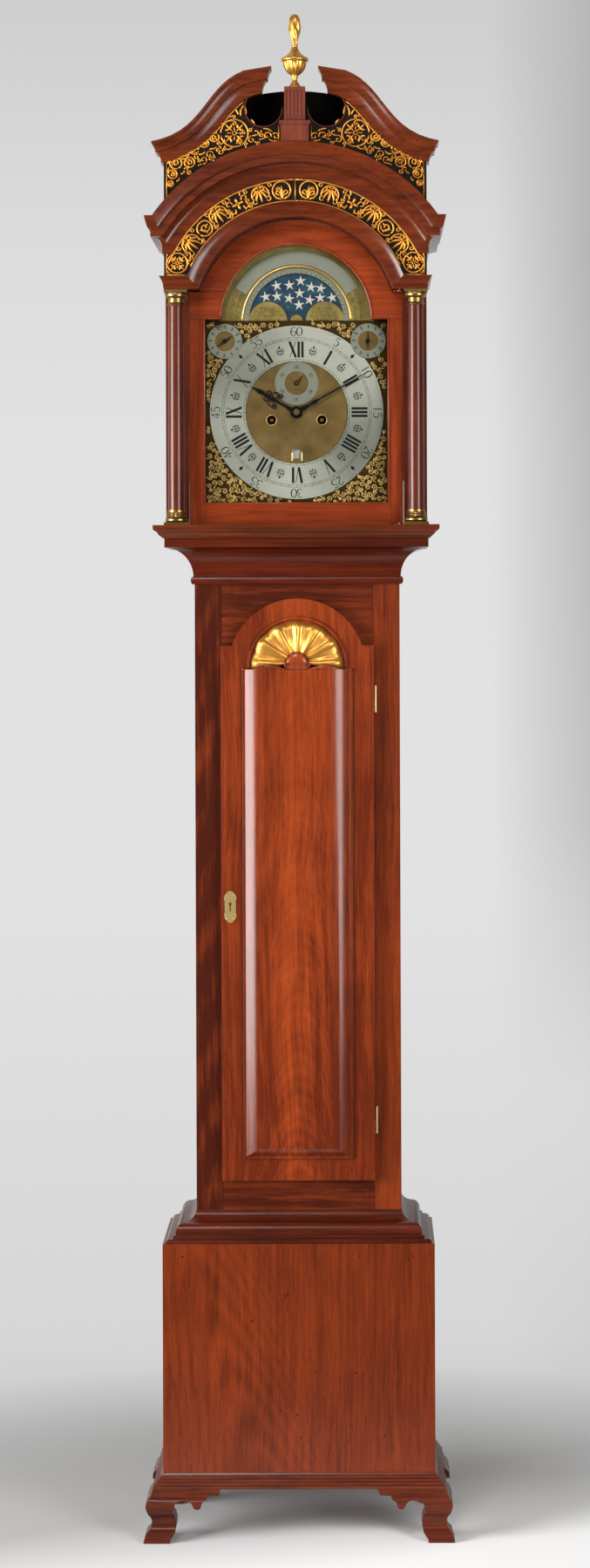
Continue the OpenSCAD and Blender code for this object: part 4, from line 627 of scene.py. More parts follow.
# Half-hour mark: a fleur-de-lis with a pointed outer drop
FLEUR = [[(0, -7.4, .15), (0, -4.6, 1.2), (0, -2, .3)],
         [(0, -.6, .3), (0, 1.6, 1.1), (0, 4.4, .15)],
         [(0, 4.6, .1), (0, 7.2, 1.9), (0, 10.4, .1)]] + [
    [(s * u, v, w) for u, v, w in line] for s in (-1, 1) for line in (
        [(.8, .2, .3), (3, 1.6, .9), (5.2, 1.2, 1.1), (5.4, -1, .7), (4, -1.4, .5)],
        [(1, -1.4, .3), (3, -2.4, .9), (4.4, -4.2, 1), (3, -5.2, .5)],
        [(2.2, 4.2, .3), (4, 5, .9), (5.4, 4.2, .5)])]
# Radii of the hours, half hours, minute figures and diamonds, and of the two ticked tracks
HOURS_AT, HALVES_AT, MINUTES_AT, DIAMONDS_AT = 103.5, 103, 133.3, 130
QUARTERS, MINUTES = (84.2, 87.4), (120, 123.3)
cut = []
for hour, text in ROMAN.items():
    wide = sum(STROKES[sign][0] for sign in text)
    at = -wide / 2
    for sign in text:
        for a, b, w in STROKES[sign][1]:
            middle = at + STROKES[sign][0] / 2
            cut.append(on_ring([(middle + a[0], a[1], w), (middle + b[0], b[1], w)],
                               30 * hour, HOURS_AT, HANDS))
        at += STROKES[sign][0]
    cut += figures(str(5 * hour), 30 * hour, MINUTES_AT, HANDS)
    cut += [on_ring(line, 30 * hour - 15, HALVES_AT, HANDS) for line in FLEUR]
for clock in (45, 135, 225, 315):
    cut.append(on_ring([(0, -4.8, 0.1), (0, 0, 2.9), (0, 4.8, 0.1)], clock, DIAMONDS_AT,
                       HANDS))
for minute in range(60):
    cut.append(on_ring([(0, 0, 0.28), (0, 3.3, 0.28)], 6 * minute, MINUTES[0], HANDS))
for quarter in range(48):
    cut.append(on_ring([(0, 0, 0.28), (0, 3.2, 0.28)], 7.5 * quarter, QUARTERS[0], HANDS))
circles = [ring_line(*HANDS, r, 0.26, 6) for r in QUARTERS + MINUTES]
piece("chapter_figures", [strip(line, RING_FACE, 0.08, FLAT) for line in cut]
      + [strip(line, RING_FACE, 0.08, FLAT, True) for line in circles], wax, "case",
      smooth=False)

# Seconds ring, corner rings, arch band and lunar ring: silvered in the same way. The arch
# band is bare; the small rings carry their figures and ticks.
dress(metal("silvered brass, small rings, rubbed", "#a19f90", 0.4, 0.3, stain=0.3,
            dark="#686555", mat=0.1), "silvered_rings")
SECONDS = (0.0, 1885.0)
small = []
for tens in range(1, 7):
    small += figures(str(10 * tens), 60 * tens, 27, SECONDS, 0.42, 9)
for second in range(60):
    small.append(on_ring([(0, 0, 0.2), (0, 1.6, 0.2)], 6 * second, 33.3, SECONDS))
for centre in CORNERS:
    for i in range(12):
        small.append(on_ring([(0, 0, 0.55), (0, 6.2, 0.55)], 30 * i, 20.4, centre))
        small.append(on_ring([(1.8, 0, 0.4), (1.8, 6.2, 0.4)], 30 * i, 20.4, centre))
        small.append(on_ring([(0, 0, 0.2), (0, 1.8, 0.2)], 30 * i + 15, 26, centre))
for day in range(59):
    clock = -86 + 172 * day / 58
    small.append(on_ring([(0, 0, 0.3), (0, 2.2, 0.3)], clock, 83, MOON))
    if day % 2:
        small.append(on_ring([(0, 0, 0.5), (0, 2.6, 0.45)], clock, 79.2, MOON))
piece("small_figures", [strip(line, RING_FACE, 0.08, FLAT) for line in small], wax, "case",
      smooth=False)

# Spandrels: cast brass scrolls, chased and gilt, screwed to the corners of the plate. They
# fill the corners round the chapter ring and the small rings.
gilt = metal("gilt brass, cast and chased", "#e6c078", 0.32, 0.3, stain=0.2, dark="#7a5a2a",
             mat=0.2)
# The corner field: its half width, foot and top, and the edges of the rings that it goes round
FIELD_SIDE, FIELD_LOW, FIELD_HIGH, RING_EDGE, SMALL_EDGE = 149.5, 1687, 1986.5, 144, 29.5
random.seed(11)
scrolls, taken = [], []
for attempt in range(9000):
    x, z = random.uniform(-147, 147), random.uniform(1689, 1985)
    reach = (5.0, 4.0, 3.1)[attempt // 3000]
    off_ring = math.hypot(x - HANDS[0], z - HANDS[1]) > RING_EDGE + reach
    off_small = min(math.hypot(x - c[0], z - c[1]) for c in CORNERS) > SMALL_EDGE + reach
    inside = abs(x) < FIELD_SIDE - reach and FIELD_LOW + reach < z < FIELD_HIGH - reach
    free = all(math.hypot(x - a, z - b) > 0.84 * (reach + r) for a, b, r in taken)
    if off_ring and off_small and inside and free:
        taken.append((x, z, reach))
        turn, hand = random.uniform(0, 360), random.choice((-1, 1))
        scrolls.append(curl(x, z, turn, turn + hand * 480, 0.6, reach * 0.92, 0.75, 1.15, 36))
        scrolls.append(leaf(x + reach * 0.9 * math.cos(math.radians(turn + hand * 120)),
                            z + reach * 0.9 * math.sin(math.radians(turn + hand * 120)),
                            turn + hand * 200, reach * 1.3, 2.2, 0.8))
piece("spandrel_scrolls", [strip(line, DIAL_FACE, 2.0) for line in scrolls], gilt, "case",
      ["spandrels"])

# Hinges of the trunk door: cast brass butts, of which only the knuckles show. Filed and
# polished brass, a little dull from handling.
brass = metal("brass, filed and polished", "#cdb174", 0.4, 0.25, stain=0.2, mat=0.15)
dress(brass, "fixed_hinge_leaves")

# Gut lines: two strands of gut twisted into one line, a leg down from the barrel and a leg
# up to a knot over the seat board. The twist is drawn three times coarser than the real one.
gut = surface("gut line, twisted and oiled", Base_Color=colour("#a8895a"), Roughness=0.42)[0]
# Height of the pulley's axle with the weight down, the weight's rise, and the lines' place
AXLE, RISE, LINE_Y = 425, 1190, 18
for side, sign in (("going", 1), ("strike", -1)):
    for leg, x, top in (("barrel", 67.3, WINDING[1]), ("knot", 21.5, 1768.0)):
        rows = int((top - AXLE) / 5)
        points, faces = [], []
        for i in range(rows + 1):
            z = AXLE + (top - AXLE) * i / rows
            for k in range(8):
                a = math.radians(45 * k)
                r = 0.62 + 0.28 * abs(math.cos(a - z * 0.2))
                points.append((sign * x + r * math.cos(a), LINE_Y + r * math.sin(a), z))
                if i:
                    n = 8 * i
                    faces.append((n - 8 + k, n - 8 + (k + 1) % 8, n + (k + 1) % 8, n + k))
        faces += [list(range(8)), list(range(8 * rows, 8 * rows + 8))]
        line = piece(f"{side}_{leg}_leg", [(points, faces)], gut, "case",
                     [f"{side}_line"])
        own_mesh(line)

# Trunk door: a framed board with a lipped edge and a blocked panel of figured veneer
# that rolls over at both sides and at its foot.


def crotch(tree, x, y, z, bend):
    """Nested arches of crotch figure up the middle of the panel, darker at its sides and foot."""
    bow = calc(tree, "MULTIPLY", calc(tree, "POWER", x, 2), 30)
    rise = calc(tree, "ADD", calc(tree, "ADD", z, bow), calc(tree, "MULTIPLY", bend, 0.16))
    wide = calc(tree, "SINE", calc(tree, "MULTIPLY", rise, 75))
    thin = calc(tree, "SINE", calc(tree, "MULTIPLY", rise, 260))
    inner = calc(tree, "MULTIPLY_ADD", calc(tree, "ABSOLUTE", x), -11, 1.0, clamp=True)
    low = calc(tree, "MULTIPLY_ADD", z, -1.1, 1.4, clamp=True)
    both = calc(tree, "ADD", calc(tree, "MULTIPLY", wide, 0.055),
                calc(tree, "MULTIPLY", thin, 0.045))
    shade = calc(tree, "MULTIPLY", calc(tree, "MULTIPLY", both, inner),
                 calc(tree, "MULTIPLY_ADD", low, 0.9, 0.35))
    shade = calc(tree, "ADD", shade, calc(tree, "MULTIPLY_ADD", inner, 0.2, -0.1))
    return calc(tree, "SUBTRACT", shade, calc(tree, "MULTIPLY", low, 0.2))


veneer = mahogany("mahogany veneer, crotch figure, shellac polish", "#a2431a", "#561e0b", "Z",
                  figure=crotch, gloss=0.3, coat=0.5, seed=8.8)
dress(veneer, "trunk_door", moulded=True)

# Door head: above the panel the wood runs on as a wavy shoulder and a tongue with two
# small volutes, carved flush with the panel, and a small bead foot at each side.
PANEL_FACE, DOOR_FACE = -85.3, -70.3
PANEL_FLAT, ROLL_RADIUS, ROLL_WIDE = 49.5, 60, 36


def panel_face(x):
    """Height of the panel's front over its rolled sides."""
    over = max(0, abs(x) - PANEL_FLAT)
    return PANEL_FACE + ROLL_RADIUS - math.sqrt(ROLL_RADIUS ** 2 - min(over, ROLL_WIDE) ** 2)


def shoulder(x):
    """Height of the wavy edge under the shell."""
    return 1415.5 + 6.5 * math.sin(math.pi * min(1, max(0, (abs(x) - 17) / 56))) ** 2


def carved(tops, y_front, low):
    """A closed block between z = low and z = top over a row of (x, top) places."""
    points, faces = [], []
    for x, top in tops:
        y = y_front(x)
        points += [(x, DOOR_FACE, low), (x, y, low), (x, y, top - 0.8), (x, y + 0.8, top),
                   (x, DOOR_FACE, top)]
    for i in range(1, len(tops)):
        k = 5 * i
        faces += [(k - 5 + j, k + j, k + (j + 1) % 5, k - 5 + (j + 1) % 5) for j in range(5)]
    return points, faces + [list(range(5)), list(range(len(points) - 5, len(points)))[::-1]]


head = [carved([(s * x, shoulder(x)) for x in range(12, 75, 2)], panel_face, 1413.6)
        for s in (-1, 1)]
tongue = []
for i in range(25):
    x = -17 * math.cos(math.pi * i / 24)
    tongue.append((x, 1424 + 17 * math.sin(math.pi * i / 24) if abs(x) < 16.9 else 1424))
head.append(carved(tongue, panel_face, 1413.6))
volutes = [curl(s * 17, 1420.5, 90 + s * 60, 90 - s * 400, 4.4, 0.8, 1.1, 0.7, 30)
           for s in (-1, 1)]
head += [strip(line, PANEL_FACE, 1.1) for line in volutes]
feet = [[(s * 78.5, 1414, 2.2), (s * 91.5, 1414, 2.2)] for s in (-1, 1)]
head += [strip(line, DOOR_FACE, 4.5) for line in feet]
piece("door_head_carving", head, veneer, "trunk_door")

# Shell: carved from the solid in seven lobes with creases between them, gessoed and
# gilt, and rubbed through to the red clay on its edges.


def leafed_gold(name, tint, deep, rough):
    """Gold leaf over red clay: rubbed to the clay in patches, with painted shade that browns the
    hollows and leaves the ridges bright.
    """
    made, tree, shader = surface(name, Metallic=0.85, Roughness=rough, Specular_IOR_Level=0.4)
    place = add(tree, "ShaderNodeTexCoord").outputs["Object"]
    cloud = add(tree, "ShaderNodeTexNoise",
                values={"Scale": per(11.11), "Detail": 5, "Roughness": 0.65},
                links={"Vector": place}).outputs[0]
    worn = calc(tree, "MULTIPLY_ADD", cloud, 2.2, -1.05, clamp=True)
    # Painted shade: hollows found by ambient occlusion take the deep brown
    painted_hollow_shade = add(tree, "ShaderNodeAmbientOcclusion", {"samples": 8, "only_local": True},
                 {"Distance": 0.005}).outputs["AO"]
    painted_hollow_shade = calc(tree, "MULTIPLY_ADD", painted_hollow_shade, -1.5, 1.35, clamp=True)
    share = calc(tree, "MAXIMUM", calc(tree, "MULTIPLY", worn, 0.5), painted_hollow_shade)
    tree.links.new(blend_colour(tree, share, colour(tint), colour(deep)),
                   shader.inputs["Base Color"])
    bump = add(tree, "ShaderNodeBump", values={"Strength": 0.3, "Distance": 0.0003},
               links={"Height": cloud})
    tree.links.new(bump.outputs[0], shader.inputs["Normal"])
    return made


shell_gold = leafed_gold("gold leaf on carved shell, rubbed", "#e2a149", "#84400f", 0.38)
SHELL_INNER, SHELL_LOW = 16.6, 1424
points, rows, columns = [], 13, 99
for j in range(columns):
    a = -8 + 196 * j / (columns - 1)
    lobe = abs(math.cos(math.radians(6 * a)))
    rim = 69.6 + 6.2 * math.cos(math.radians(a)) ** 2 - 4.2 * (1 - lobe ** 0.8)
    for i in range(rows + 2):
        t = min(max(i - 1, 0), rows - 1) / (rows - 1)
        r = SHELL_INNER + (rim - SHELL_INNER) * t
        x, z = r * math.cos(math.radians(a)), SHELL_LOW + r * math.sin(math.radians(a))
        ridge = 0.70 * lobe ** 0.7 + 0.18 * math.cos(math.radians(24 * a)) * min(1, 1.6 * t)
        bow = 0.35 + 0.65 * math.sin(math.pi * min(1, 0.12 + 0.68 * t))
        rise = 3.5 + bow * (2 + 8.6 * ridge)
        rise *= math.sqrt(max(0.02, 1 - ((t - 0.82) / 0.18) ** 2)) if t > 0.82 else 1
        on_edge = i in (0, rows + 1) or j in (0, columns - 1)
        points.append((x, DOOR_FACE if on_edge else DOOR_FACE - min(12, rise),
                       max(z, shoulder(x) + 0.4)))
n = rows + 2
faces = [(n * j + i, n * j + i + 1, n * j + n + i + 1, n * j + n + i)
         for j in range(columns - 1) for i in range(rows + 1)]
border = ([n * j for j in range(columns)] + [n * (columns - 1) + i for i in range(1, n)]
          + [n * j + n - 1 for j in range(columns - 2, -1, -1)] + list(range(n - 2, 0, -1)))
piece("door_shell_carving", [(points, faces + [border])], shell_gold, "trunk_door",
      ["door_shell"])

# Escutcheon: a sheet brass plate with lobed ends, held by four round-headed pins, with a
# keyhole; the lock behind it and its bolt.
dress(brass, "escutcheon", "door_brasses")
pins = [ring_line(-110.8 + dx, 1025 + dz, 0.55, 0.6, 60) for dx in (-6, 6) for dz in (-19, 19)]
piece("escutcheon_pins", [strip(line, -71.8, 0.9, closed=True) for line in pins], bright_brass,
      "trunk_door")
dress(metal("steel, filed bolt", "#8c8c8c", 0.35, 0.4, stain=0.2), "lock_bolt")

# Hood base moulding: an ovolo and a fillet run on three lengths of mahogany, mitred at the
# front corners and glued to the foot of the hood.
HOOD_MITRE = 110
dress(mahogany("mahogany, run moulding, hood foot", "#733012", "#351409", "X", "Y",
               past_mitre(HOOD_MITRE), gloss=0.28, seed=9.1), "hood_base_moulding", moulded=True)

# Hood sides: one mahogany board each, with vertical grain, glued and blocked behind the
# front of the hood.
dress(mahogany("mahogany, hood sides, shellac polish", "#7d3418", "#3b150c", "Z", gloss=0.3,
               seed=10.2), "hood_carcase")

# Columns: turned mahogany shafts with turned and burnished brass capitals and bases.
dress(mahogany("mahogany, turned shaft, shellac polish", "#6c2a16", "#2e0e06", "Z", gloss=0.28,
               coat=0.45, seed=11.1), "hood_columns", moulded=True)
dress(metal("brass, turned, dull from age", "#957748", 0.34, 0.05, stain=0.3), "column_brasses",
      moulded=True)

# Arched moulding under the frieze: run on a curved blank, mitred to short blocks over the
# columns and to the side returns.
dress(mahogany("mahogany, arched moulding, shellac polish", "#7b3516", "#381309", "X", "Y",
               past_mitre(HOOD_MITRE), gloss=0.27, seed=12.3), "lower_arch_moulding", moulded=True)

# Frieze board: the ground of the frets, stained black.
# The turned rims of the two roundels stand proud of it in bare wood.


def frieze_ground():
    """Black stain with thin mahogany rims."""
    made, tree, shader = surface("frieze ground, stained black, mahogany rims", Roughness=0.5,
                                 Specular_IOR_Level=0.1, Coat_Weight=0.2)
    place = add(tree, "ShaderNodeTexCoord").outputs["Object"]
    y = add(tree, "ShaderNodeSeparateXYZ", links={0: place}).outputs[1]
    proud = calc(tree, "LESS_THAN", y, -0.1041)
    tree.links.new(blend_colour(tree, proud, colour("#120c08"), colour("#4e1f12")),
                   shader.inputs["Base Color"])
    return made


dress(frieze_ground(), "frieze_board", moulded=True)

# Frets: thin wood sawn into scrolls, leaves and rosettes, rounded at the edges, gilt and
# glued on the black ground: a band along the arch, a square rosette at each end of it,
# and a field in each half of the pediment.
FRET_FACE = -104.0
BAND_MIDDLE = 207.2


def both_sides(lines):
    """The lines and their mirror images."""
    return lines + [[(-x, z, w) for x, z, w in line] for line in lines]


def bent(lines, angle, radius):
    """Motif lines (u sideways, v outward, half width) bent round the arch at a place."""
    out = []
    for line in lines:
        out.append([((radius + v) * math.cos(math.radians(angle) - u / radius),
                     MOON[1] + (radius + v) * math.sin(math.radians(angle) - u / radius), w)
                    for u, v, w in line])
    return out


def moved(lines, x, z, turn=0.0, grow=1.0):
    """Motif lines turned, grown and set down at a place."""
    c, s = math.cos(math.radians(turn)) * grow, math.sin(math.radians(turn)) * grow
    return [[(x + u * c - v * s, z + u * s + v * c, w) for u, v, w in line] for line in lines]


lily = ([curl(0, 2, 250, -70, 14.6, 14.6, 1.5, 1.5, 18), leaf(0, -13, 90, 23, 6.5)]
        + both_sides([curl(7, -2, 200, -80, 4.2, 2.2, 1.5, 1.2, 30), leaf(2, -6, 40, 10, 3.4, -2),
                      curl(7.5, -13, 190, 30, 4.0, 3.0, 1.3, 1.0, 30)]))
fan = ([curl(0, 0, 200, -20, 15.2, 15.2, 1.5, 1.5, 18)]
       + [leaf(0, 8, way, long, 4.4, bow) for way, long, bow in
          ((-90, 22, 0), (-62, 21, 2), (-118, 21, -2), (-34, 16, 2.5), (-146, 16, -2.5))]
       + both_sides([curl(5, 9, 160, -120, 4.2, 2.0, 1.4, 1.1, 30),
                     curl(12, -10, 90, -160, 5.2, 2.4, 1.4, 1.1, 30)]))
wheel = ([curl(0, 0, 0, 350, 12.6, 12.6, 1.5, 1.5, 18),
          curl(-1, 1, 200, 620, 8.6, 1.6, 1.2, 1.4, 30),
          leaf(1, -9, 60, 15, 4.5, 2), leaf(-9, 2, 30, 9, 3.5, -2)])
daisy = ([curl(0, 0, 0, 350, 2.2, 2.2, 1.1, 1.1, 50)]
         + [leaf(2.6 * math.cos(math.radians(w)), 2.6 * math.sin(math.radians(w)), w, 7.5, 5)
            for w in (0, 90, 180, 270)]
         + both_sides([curl(13.5, 5, 200, -100, 5.6, 2.2, 1.4, 1.1, 30),
                       curl(13, -8, 160, 430, 5.6, 2.2, 1.4, 1.1, 30), leaf(9, 10, 60, 9, 3.4, 2),
                       leaf(8, -14, 10, 12, 3.4, 2)]))
rose = [curl(0, 0, 0, 350, 16.4, 16.4, 1.5, 1.5, 15), curl(0, 0, 0, 350, 2.4, 2.4, 1.1, 1.1, 50)]
for way in (45, 135, 225, 315):
    c, s = math.cos(math.radians(way)), math.sin(math.radians(way))
    rose += [leaf(3.5 * c, 3.5 * s, way, 12.5, 3.4), leaf(8 * c, 8 * s, way + 62, 6.2, 4.6, 1),
             leaf(8 * c, 8 * s, way - 62, 6.2, 4.6, -1)]
for way in (0, 90, 180, 270):
    c, s = math.cos(math.radians(way)), math.sin(math.radians(way))
    rose += [leaf(3 * c, 3 * s, way, 6, 2.4)]
band = bent(lily, 83.9, 206.4)
band += bent(moved(fan, 0, 0, 0, 0.94), 74.2, 207.5) + bent(daisy, 63.2, 207.3)
band += bent(fan, 53.2, 207.8) + bent(wheel, 44.6, 207) + bent(fan, 35.4, 207.2)
for angle, out in ((79.0, 1), (68.6, -1), (68.2, 1), (58.2, 1), (58.0, -1), (49.2, 1), (49.0, -1),
                   (40.2, 1), (40.0, -1), (30.4, 1), (30.2, -1)):
    band += bent([curl(0, out * 12.4, 90 - out * 60, 90 + out * 330, 3.6, 1.4, 1.2, 1.1, 30)],
                 angle, BAND_MIDDLE)
for radius in (190.0, 224.6):
    limit = math.degrees(math.acos(min(1, 210 / radius))) if radius > 210 else 24
    band.append(curl(0, MOON[1], limit + 2, 90, radius, radius, 1.35, 1.35, 3))
band += moved(rose, 192.2, 2077)
square = [(211 - 1.3, 2057, 1.2), (211 - 1.3, 2102, 1.2)]
band += [square, [(174, 2057.6, 1.2), (210, 2057.6, 1.2)]]
for way in (45, 135, 315):
    c, s = math.cos(math.radians(way)), math.sin(math.radians(way))
    band += moved([leaf(-3.5, -1.2, 40, 5, 2.6), leaf(3.5, -1.2, 140, 5, 2.6)],
                  192.2 + 21 * c, 2077 + 20.5 * s, way - 90)
field = moved(rose, 98.6, 2288.5, 0, 1.36)
field += [curl(31, 2283, 40, 400, 6.2, 1.6, 1.5, 1.2, 30),
          curl(45, 2284, 200, -150, 7.2, 2.0, 1.5, 1.2, 30),
          leaf(36, 2290, 20, 17, 3.6, 2), leaf(27, 2276, 10, 16, 3.4, -2),
          leaf(58, 2278, 150, 15, 3.4, 2), curl(63, 2288, 60, 330, 4.6, 2.0, 1.4, 1.1, 30),
          leaf(66, 2300, 60, 13, 3.6, 2),
          leaf(80, 2317, 75, 18, 3.8, 2), leaf(88, 2316, 100, 16, 3.6, -2),
          leaf(92, 2318, 60, 12, 3.4, 1), curl(84, 2330, 200, -60, 3.4, 1.4, 1.2, 1.0, 36)]
for x, z, r, turn in ((131.2, 2282, 7.4, 140), (147.6, 2272.5, 7.0, 40), (164.6, 2262.5, 7.6, 200),
                      (183.6, 2256.8, 10.6, 100), (194.2, 2240.2, 9.8, 250), (199.2, 2222, 7.2, 20),
                      (171.8, 2241.2, 8.4, 300), (202.6, 2206.5, 4.6, 90)):
    field += moved([curl(0, 0, 0, 350, 10, 10, 1.5, 1.5, 20),
                    curl(0, 0, 60, 420, 7, 2, 1.1, 1.4, 30),
                    leaf(-7, -2, 20, 13, 3.6, 2)], x, z, turn, r / 10)
for x, z, way, long in ((121, 2270, 120, 13), (118, 2304, -20, 15), (140, 2291, -40, 11),
                        (139, 2263, 160, 12), (156, 2254, 150, 12), (155, 2281, -30, 12),
                        (173, 2270, -20, 10), (181, 2231, 140, 11), (203, 2250, -80, 12),
                        (186, 2222, 130, 10),
                        (205, 2234, -90, 14), (193, 2210, 120, 9), (110, 2262, 150, 12)):
    field.append(leaf(x, z, way, long, 3.8, 2))
under = [(57.3, 2351), (68.3, 2347.7), (75.8, 2344.8), (82.5, 2341), (89.1, 2336), (95.8, 2329.7),
         (103, 2321.9), (110.6, 2312.9), (119, 2302.8), (128.4, 2292), (139.2, 2280.6),
         (151.8, 2269.4), (166.5, 2259), (183.4, 2249.9), (198, 2243.6), (209.4, 2240.2)]
field.append([(x, z - 0.6, 1.2) for x, z in under if x > 78])
field.append([(209.2, 2240, 1.2), (209.2, 2182, 1.2)])
low = math.degrees(math.asin(194 / 284.5))
field.append(curl(0, MOON[1], low, 84.8, 286.2, 286.2, 1.3, 1.3, 3))
field.append([(26.4, 2273.6, 1.2), (26.4, 2300.5, 1.2)])


def filling(lines, fits, low, high, seed):
    """Small scrolls and leaves in the spaces that the motifs leave."""
    random.seed(seed)
    full = [(x, z, w) for line in lines for x, z, w in line]
    more = []
    for attempt in range(2600):
        x, z = random.uniform(26, 209), random.uniform(low, high)
        r = (6.6, 5.2, 4.0, 3.0)[attempt // 650]
        if fits(x, z, r) and all((x - a) ** 2 + (z - b) ** 2 > (0.82 * r + w) ** 2
                                 for a, b, w in full):
            turn, hand = random.uniform(0, 360), random.choice((-1, 1))
            a = math.radians(turn)
            some = [curl(x, z, turn, turn + hand * 400, r * 1.02, 0.8, 1.1, 1.3, 36),
                    leaf(x + r * math.cos(a), z + r * math.sin(a), turn - hand * 70, r * 1.5, 3.0,
                         1)]
            more += some
            full += [p for line in some for p in line]
    return more


def in_band(x, z, r):
    """Inside the arched band of the frieze."""
    off = math.hypot(x, z - MOON[1])
    return 191.5 + r < off < 223.5 - r and z > 2062 + r and x < 208 - r


def in_field(x, z, r):
    """Inside the right half of the pediment."""
    top = [a[1] + (b[1] - a[1]) * (x - a[0]) / (b[0] - a[0])
           for a, b in zip(under, under[1:]) if a[0] <= x < b[0]] or [2300]
    return (math.hypot(x, z - MOON[1]) > 288 + r and z < top[0] - 2 - r and 28 + r < x < 208 - r
            and math.hypot(x - 51.6, z - 2329) > 34 + r)


band += filling(band, in_band, 2060, 2212, 3)
field += filling(field, in_field, 2180, 2352, 5)
frets = both_sides(band + field) + bent([[(0, -17.5, 1.1), (0, 17.5, 1.1)]], 90, BAND_MIDDLE)
fret_gold = leafed_gold("gold leaf on sawn fret, worn", "#e09a3c", "#7a4212", 0.42)
piece("sawn_frets", [strip(line, FRET_FACE, 2.3) for line in frets], fret_gold, "hood",
      ["gilt_frets"])

# Cornice: the large arched moulding, run on a curved blank, and its side returns, mitred
# at the corners of the hood.
dress(mahogany("mahogany, arched cornice, shellac polish", "#7a3314", "#371309", "X", "Y",
               past_mitre(HOOD_MITRE), gloss=0.27, seed=13.3), "cornice", moulded=True)

# Swan necks: mahogany, sawn to a double curve and carved and scraped to the cornice's
# section, then glued on the top edge of the pediment.
dress(mahogany("mahogany, swan-neck moulding, shellac polish", "#7e3616", "#3c160a", "X",
               gloss=0.3, coat=0.4, seed=14.6), "swan_necks", moulded=True)

# Hood roof: thin boards nailed over the hood, and the board behind the open roundels. Both are
# black as painted shade, so that the openings look deep.
dress(surface("hood top and roundel backing, black as painted shade", Base_Color=colour("#090706"), Roughness=0.8,
              Specular_IOR_Level=0.02)[0],
      "hood_roof")

# Plinth and fluted pedestal of the finial: mahogany blocks glued to the middle of the
# cornice. The flutes are scraped by hand.
dress(mahogany("mahogany, fluted pedestal", "#8c422f", "#522418", "Z", gloss=0.3, seed=15.5),
      "finial_pedestal")

# Finial: an urn with gadroons and a flame of four twisted strands, carved and gilt.


def turned(profile, x, y, sides, shape):
    """A closed turning about a vertical axis; shape gives the radius by height and angle."""
    points, faces = [], []
    for i, (r, z) in enumerate(profile):
        for k in range(sides):
            a = 2 * math.pi * k / sides
            wide = r * shape(z, a)
            points.append((x + wide * math.cos(a), y + wide * math.sin(a), z))
            if i:
                n = sides * i
                faces.append((n - sides + k, n - sides + (k + 1) % sides, n + (k + 1) % sides,
                              n + k))
    return points, faces + [list(range(sides)), list(range(len(points) - sides, len(points)))]


def gadroons(z, a):
    """Lobes round the bowl of the urn, none on its rim and foot."""
    share = max(0, min(1, (z - 2381) / 4, (2403.5 - z) / 3))
    return 1 - 0.10 * share * (1 - abs(math.cos(7 * a)))


def strands(z, a):
    """Four strands that twist as they rise."""
    share = min(1, (z - 2424) / 12)
    return 1 - 0.24 * share * (1 - abs(math.cos(2 * (a + (z - 2424) * 0.055))))


urn = [(10.0, 2361), (10.2, 2362.5), (9.8, 2364.2), (7.4, 2365.6), (7.8, 2367), (5.6, 2369.5),
       (4.2, 2373), (4.0, 2376), (5.4, 2378), (5.6, 2379.4), (5.0, 2380.4), (8.4, 2382.5),
       (12.6, 2386), (16.2, 2391), (18.4, 2397), (19.3, 2402), (19.0, 2403.4), (22.0, 2404.6),
       (22.5, 2407), (21.6, 2409.4), (19.4, 2410.4), (16, 2412.2), (11, 2416), (7.4, 2420.4),
       (5.6, 2425), (5.0, 2427)]
flame = [(5.0, 2426.5), (5.2, 2432), (5.8, 2438), (7.4, 2444), (9.2, 2450), (10.3, 2456),
         (10.5, 2461), (10.3, 2466), (9.6, 2471), (8.0, 2475.5), (5.6, 2479), (2.6, 2480.8),
         (0.3, 2481)]
flame = [(flame[i][0] + (flame[i + 1][0] - flame[i][0]) * k / 3,
          flame[i][1] + (flame[i + 1][1] - flame[i][1]) * k / 3)
         for i in range(len(flame) - 1) for k in range(3)] + [flame[-1]]
finial_gold = leafed_gold("gold leaf on carved finial, rubbed", "#d9a04a", "#7a4a18", 0.34)
piece("urn_and_flame", [turned(urn, 0, -110, 84, gadroons), turned(flame, 0, -110, 48, strands)],
      finial_gold, "hood", ["finial"])

# Hood door: two stiles, a foot rail and an arched head rail, tenoned and glued, with a
# thumb moulding round the opening.
RAIL_TOP, RAIL_END = 1688, 150


def door_head(tree, x, y, z):
    """1 on the head rail and on the foot rail between the stiles."""
    return calc(tree, "ADD", calc(tree, "GREATER_THAN", z, ARCH_FOOT / 1000), calc(
        tree, "MULTIPLY", calc(tree, "LESS_THAN", z, RAIL_TOP / 1000),
        calc(tree, "LESS_THAN", calc(tree, "ABSOLUTE", x), RAIL_END / 1000)))


def head_line(tree, x, y, z):
    """Distance to the glue line under the head rail."""
    return calc(tree, "ABSOLUTE", calc(tree, "SUBTRACT", z, ARCH_FOOT / 1000))


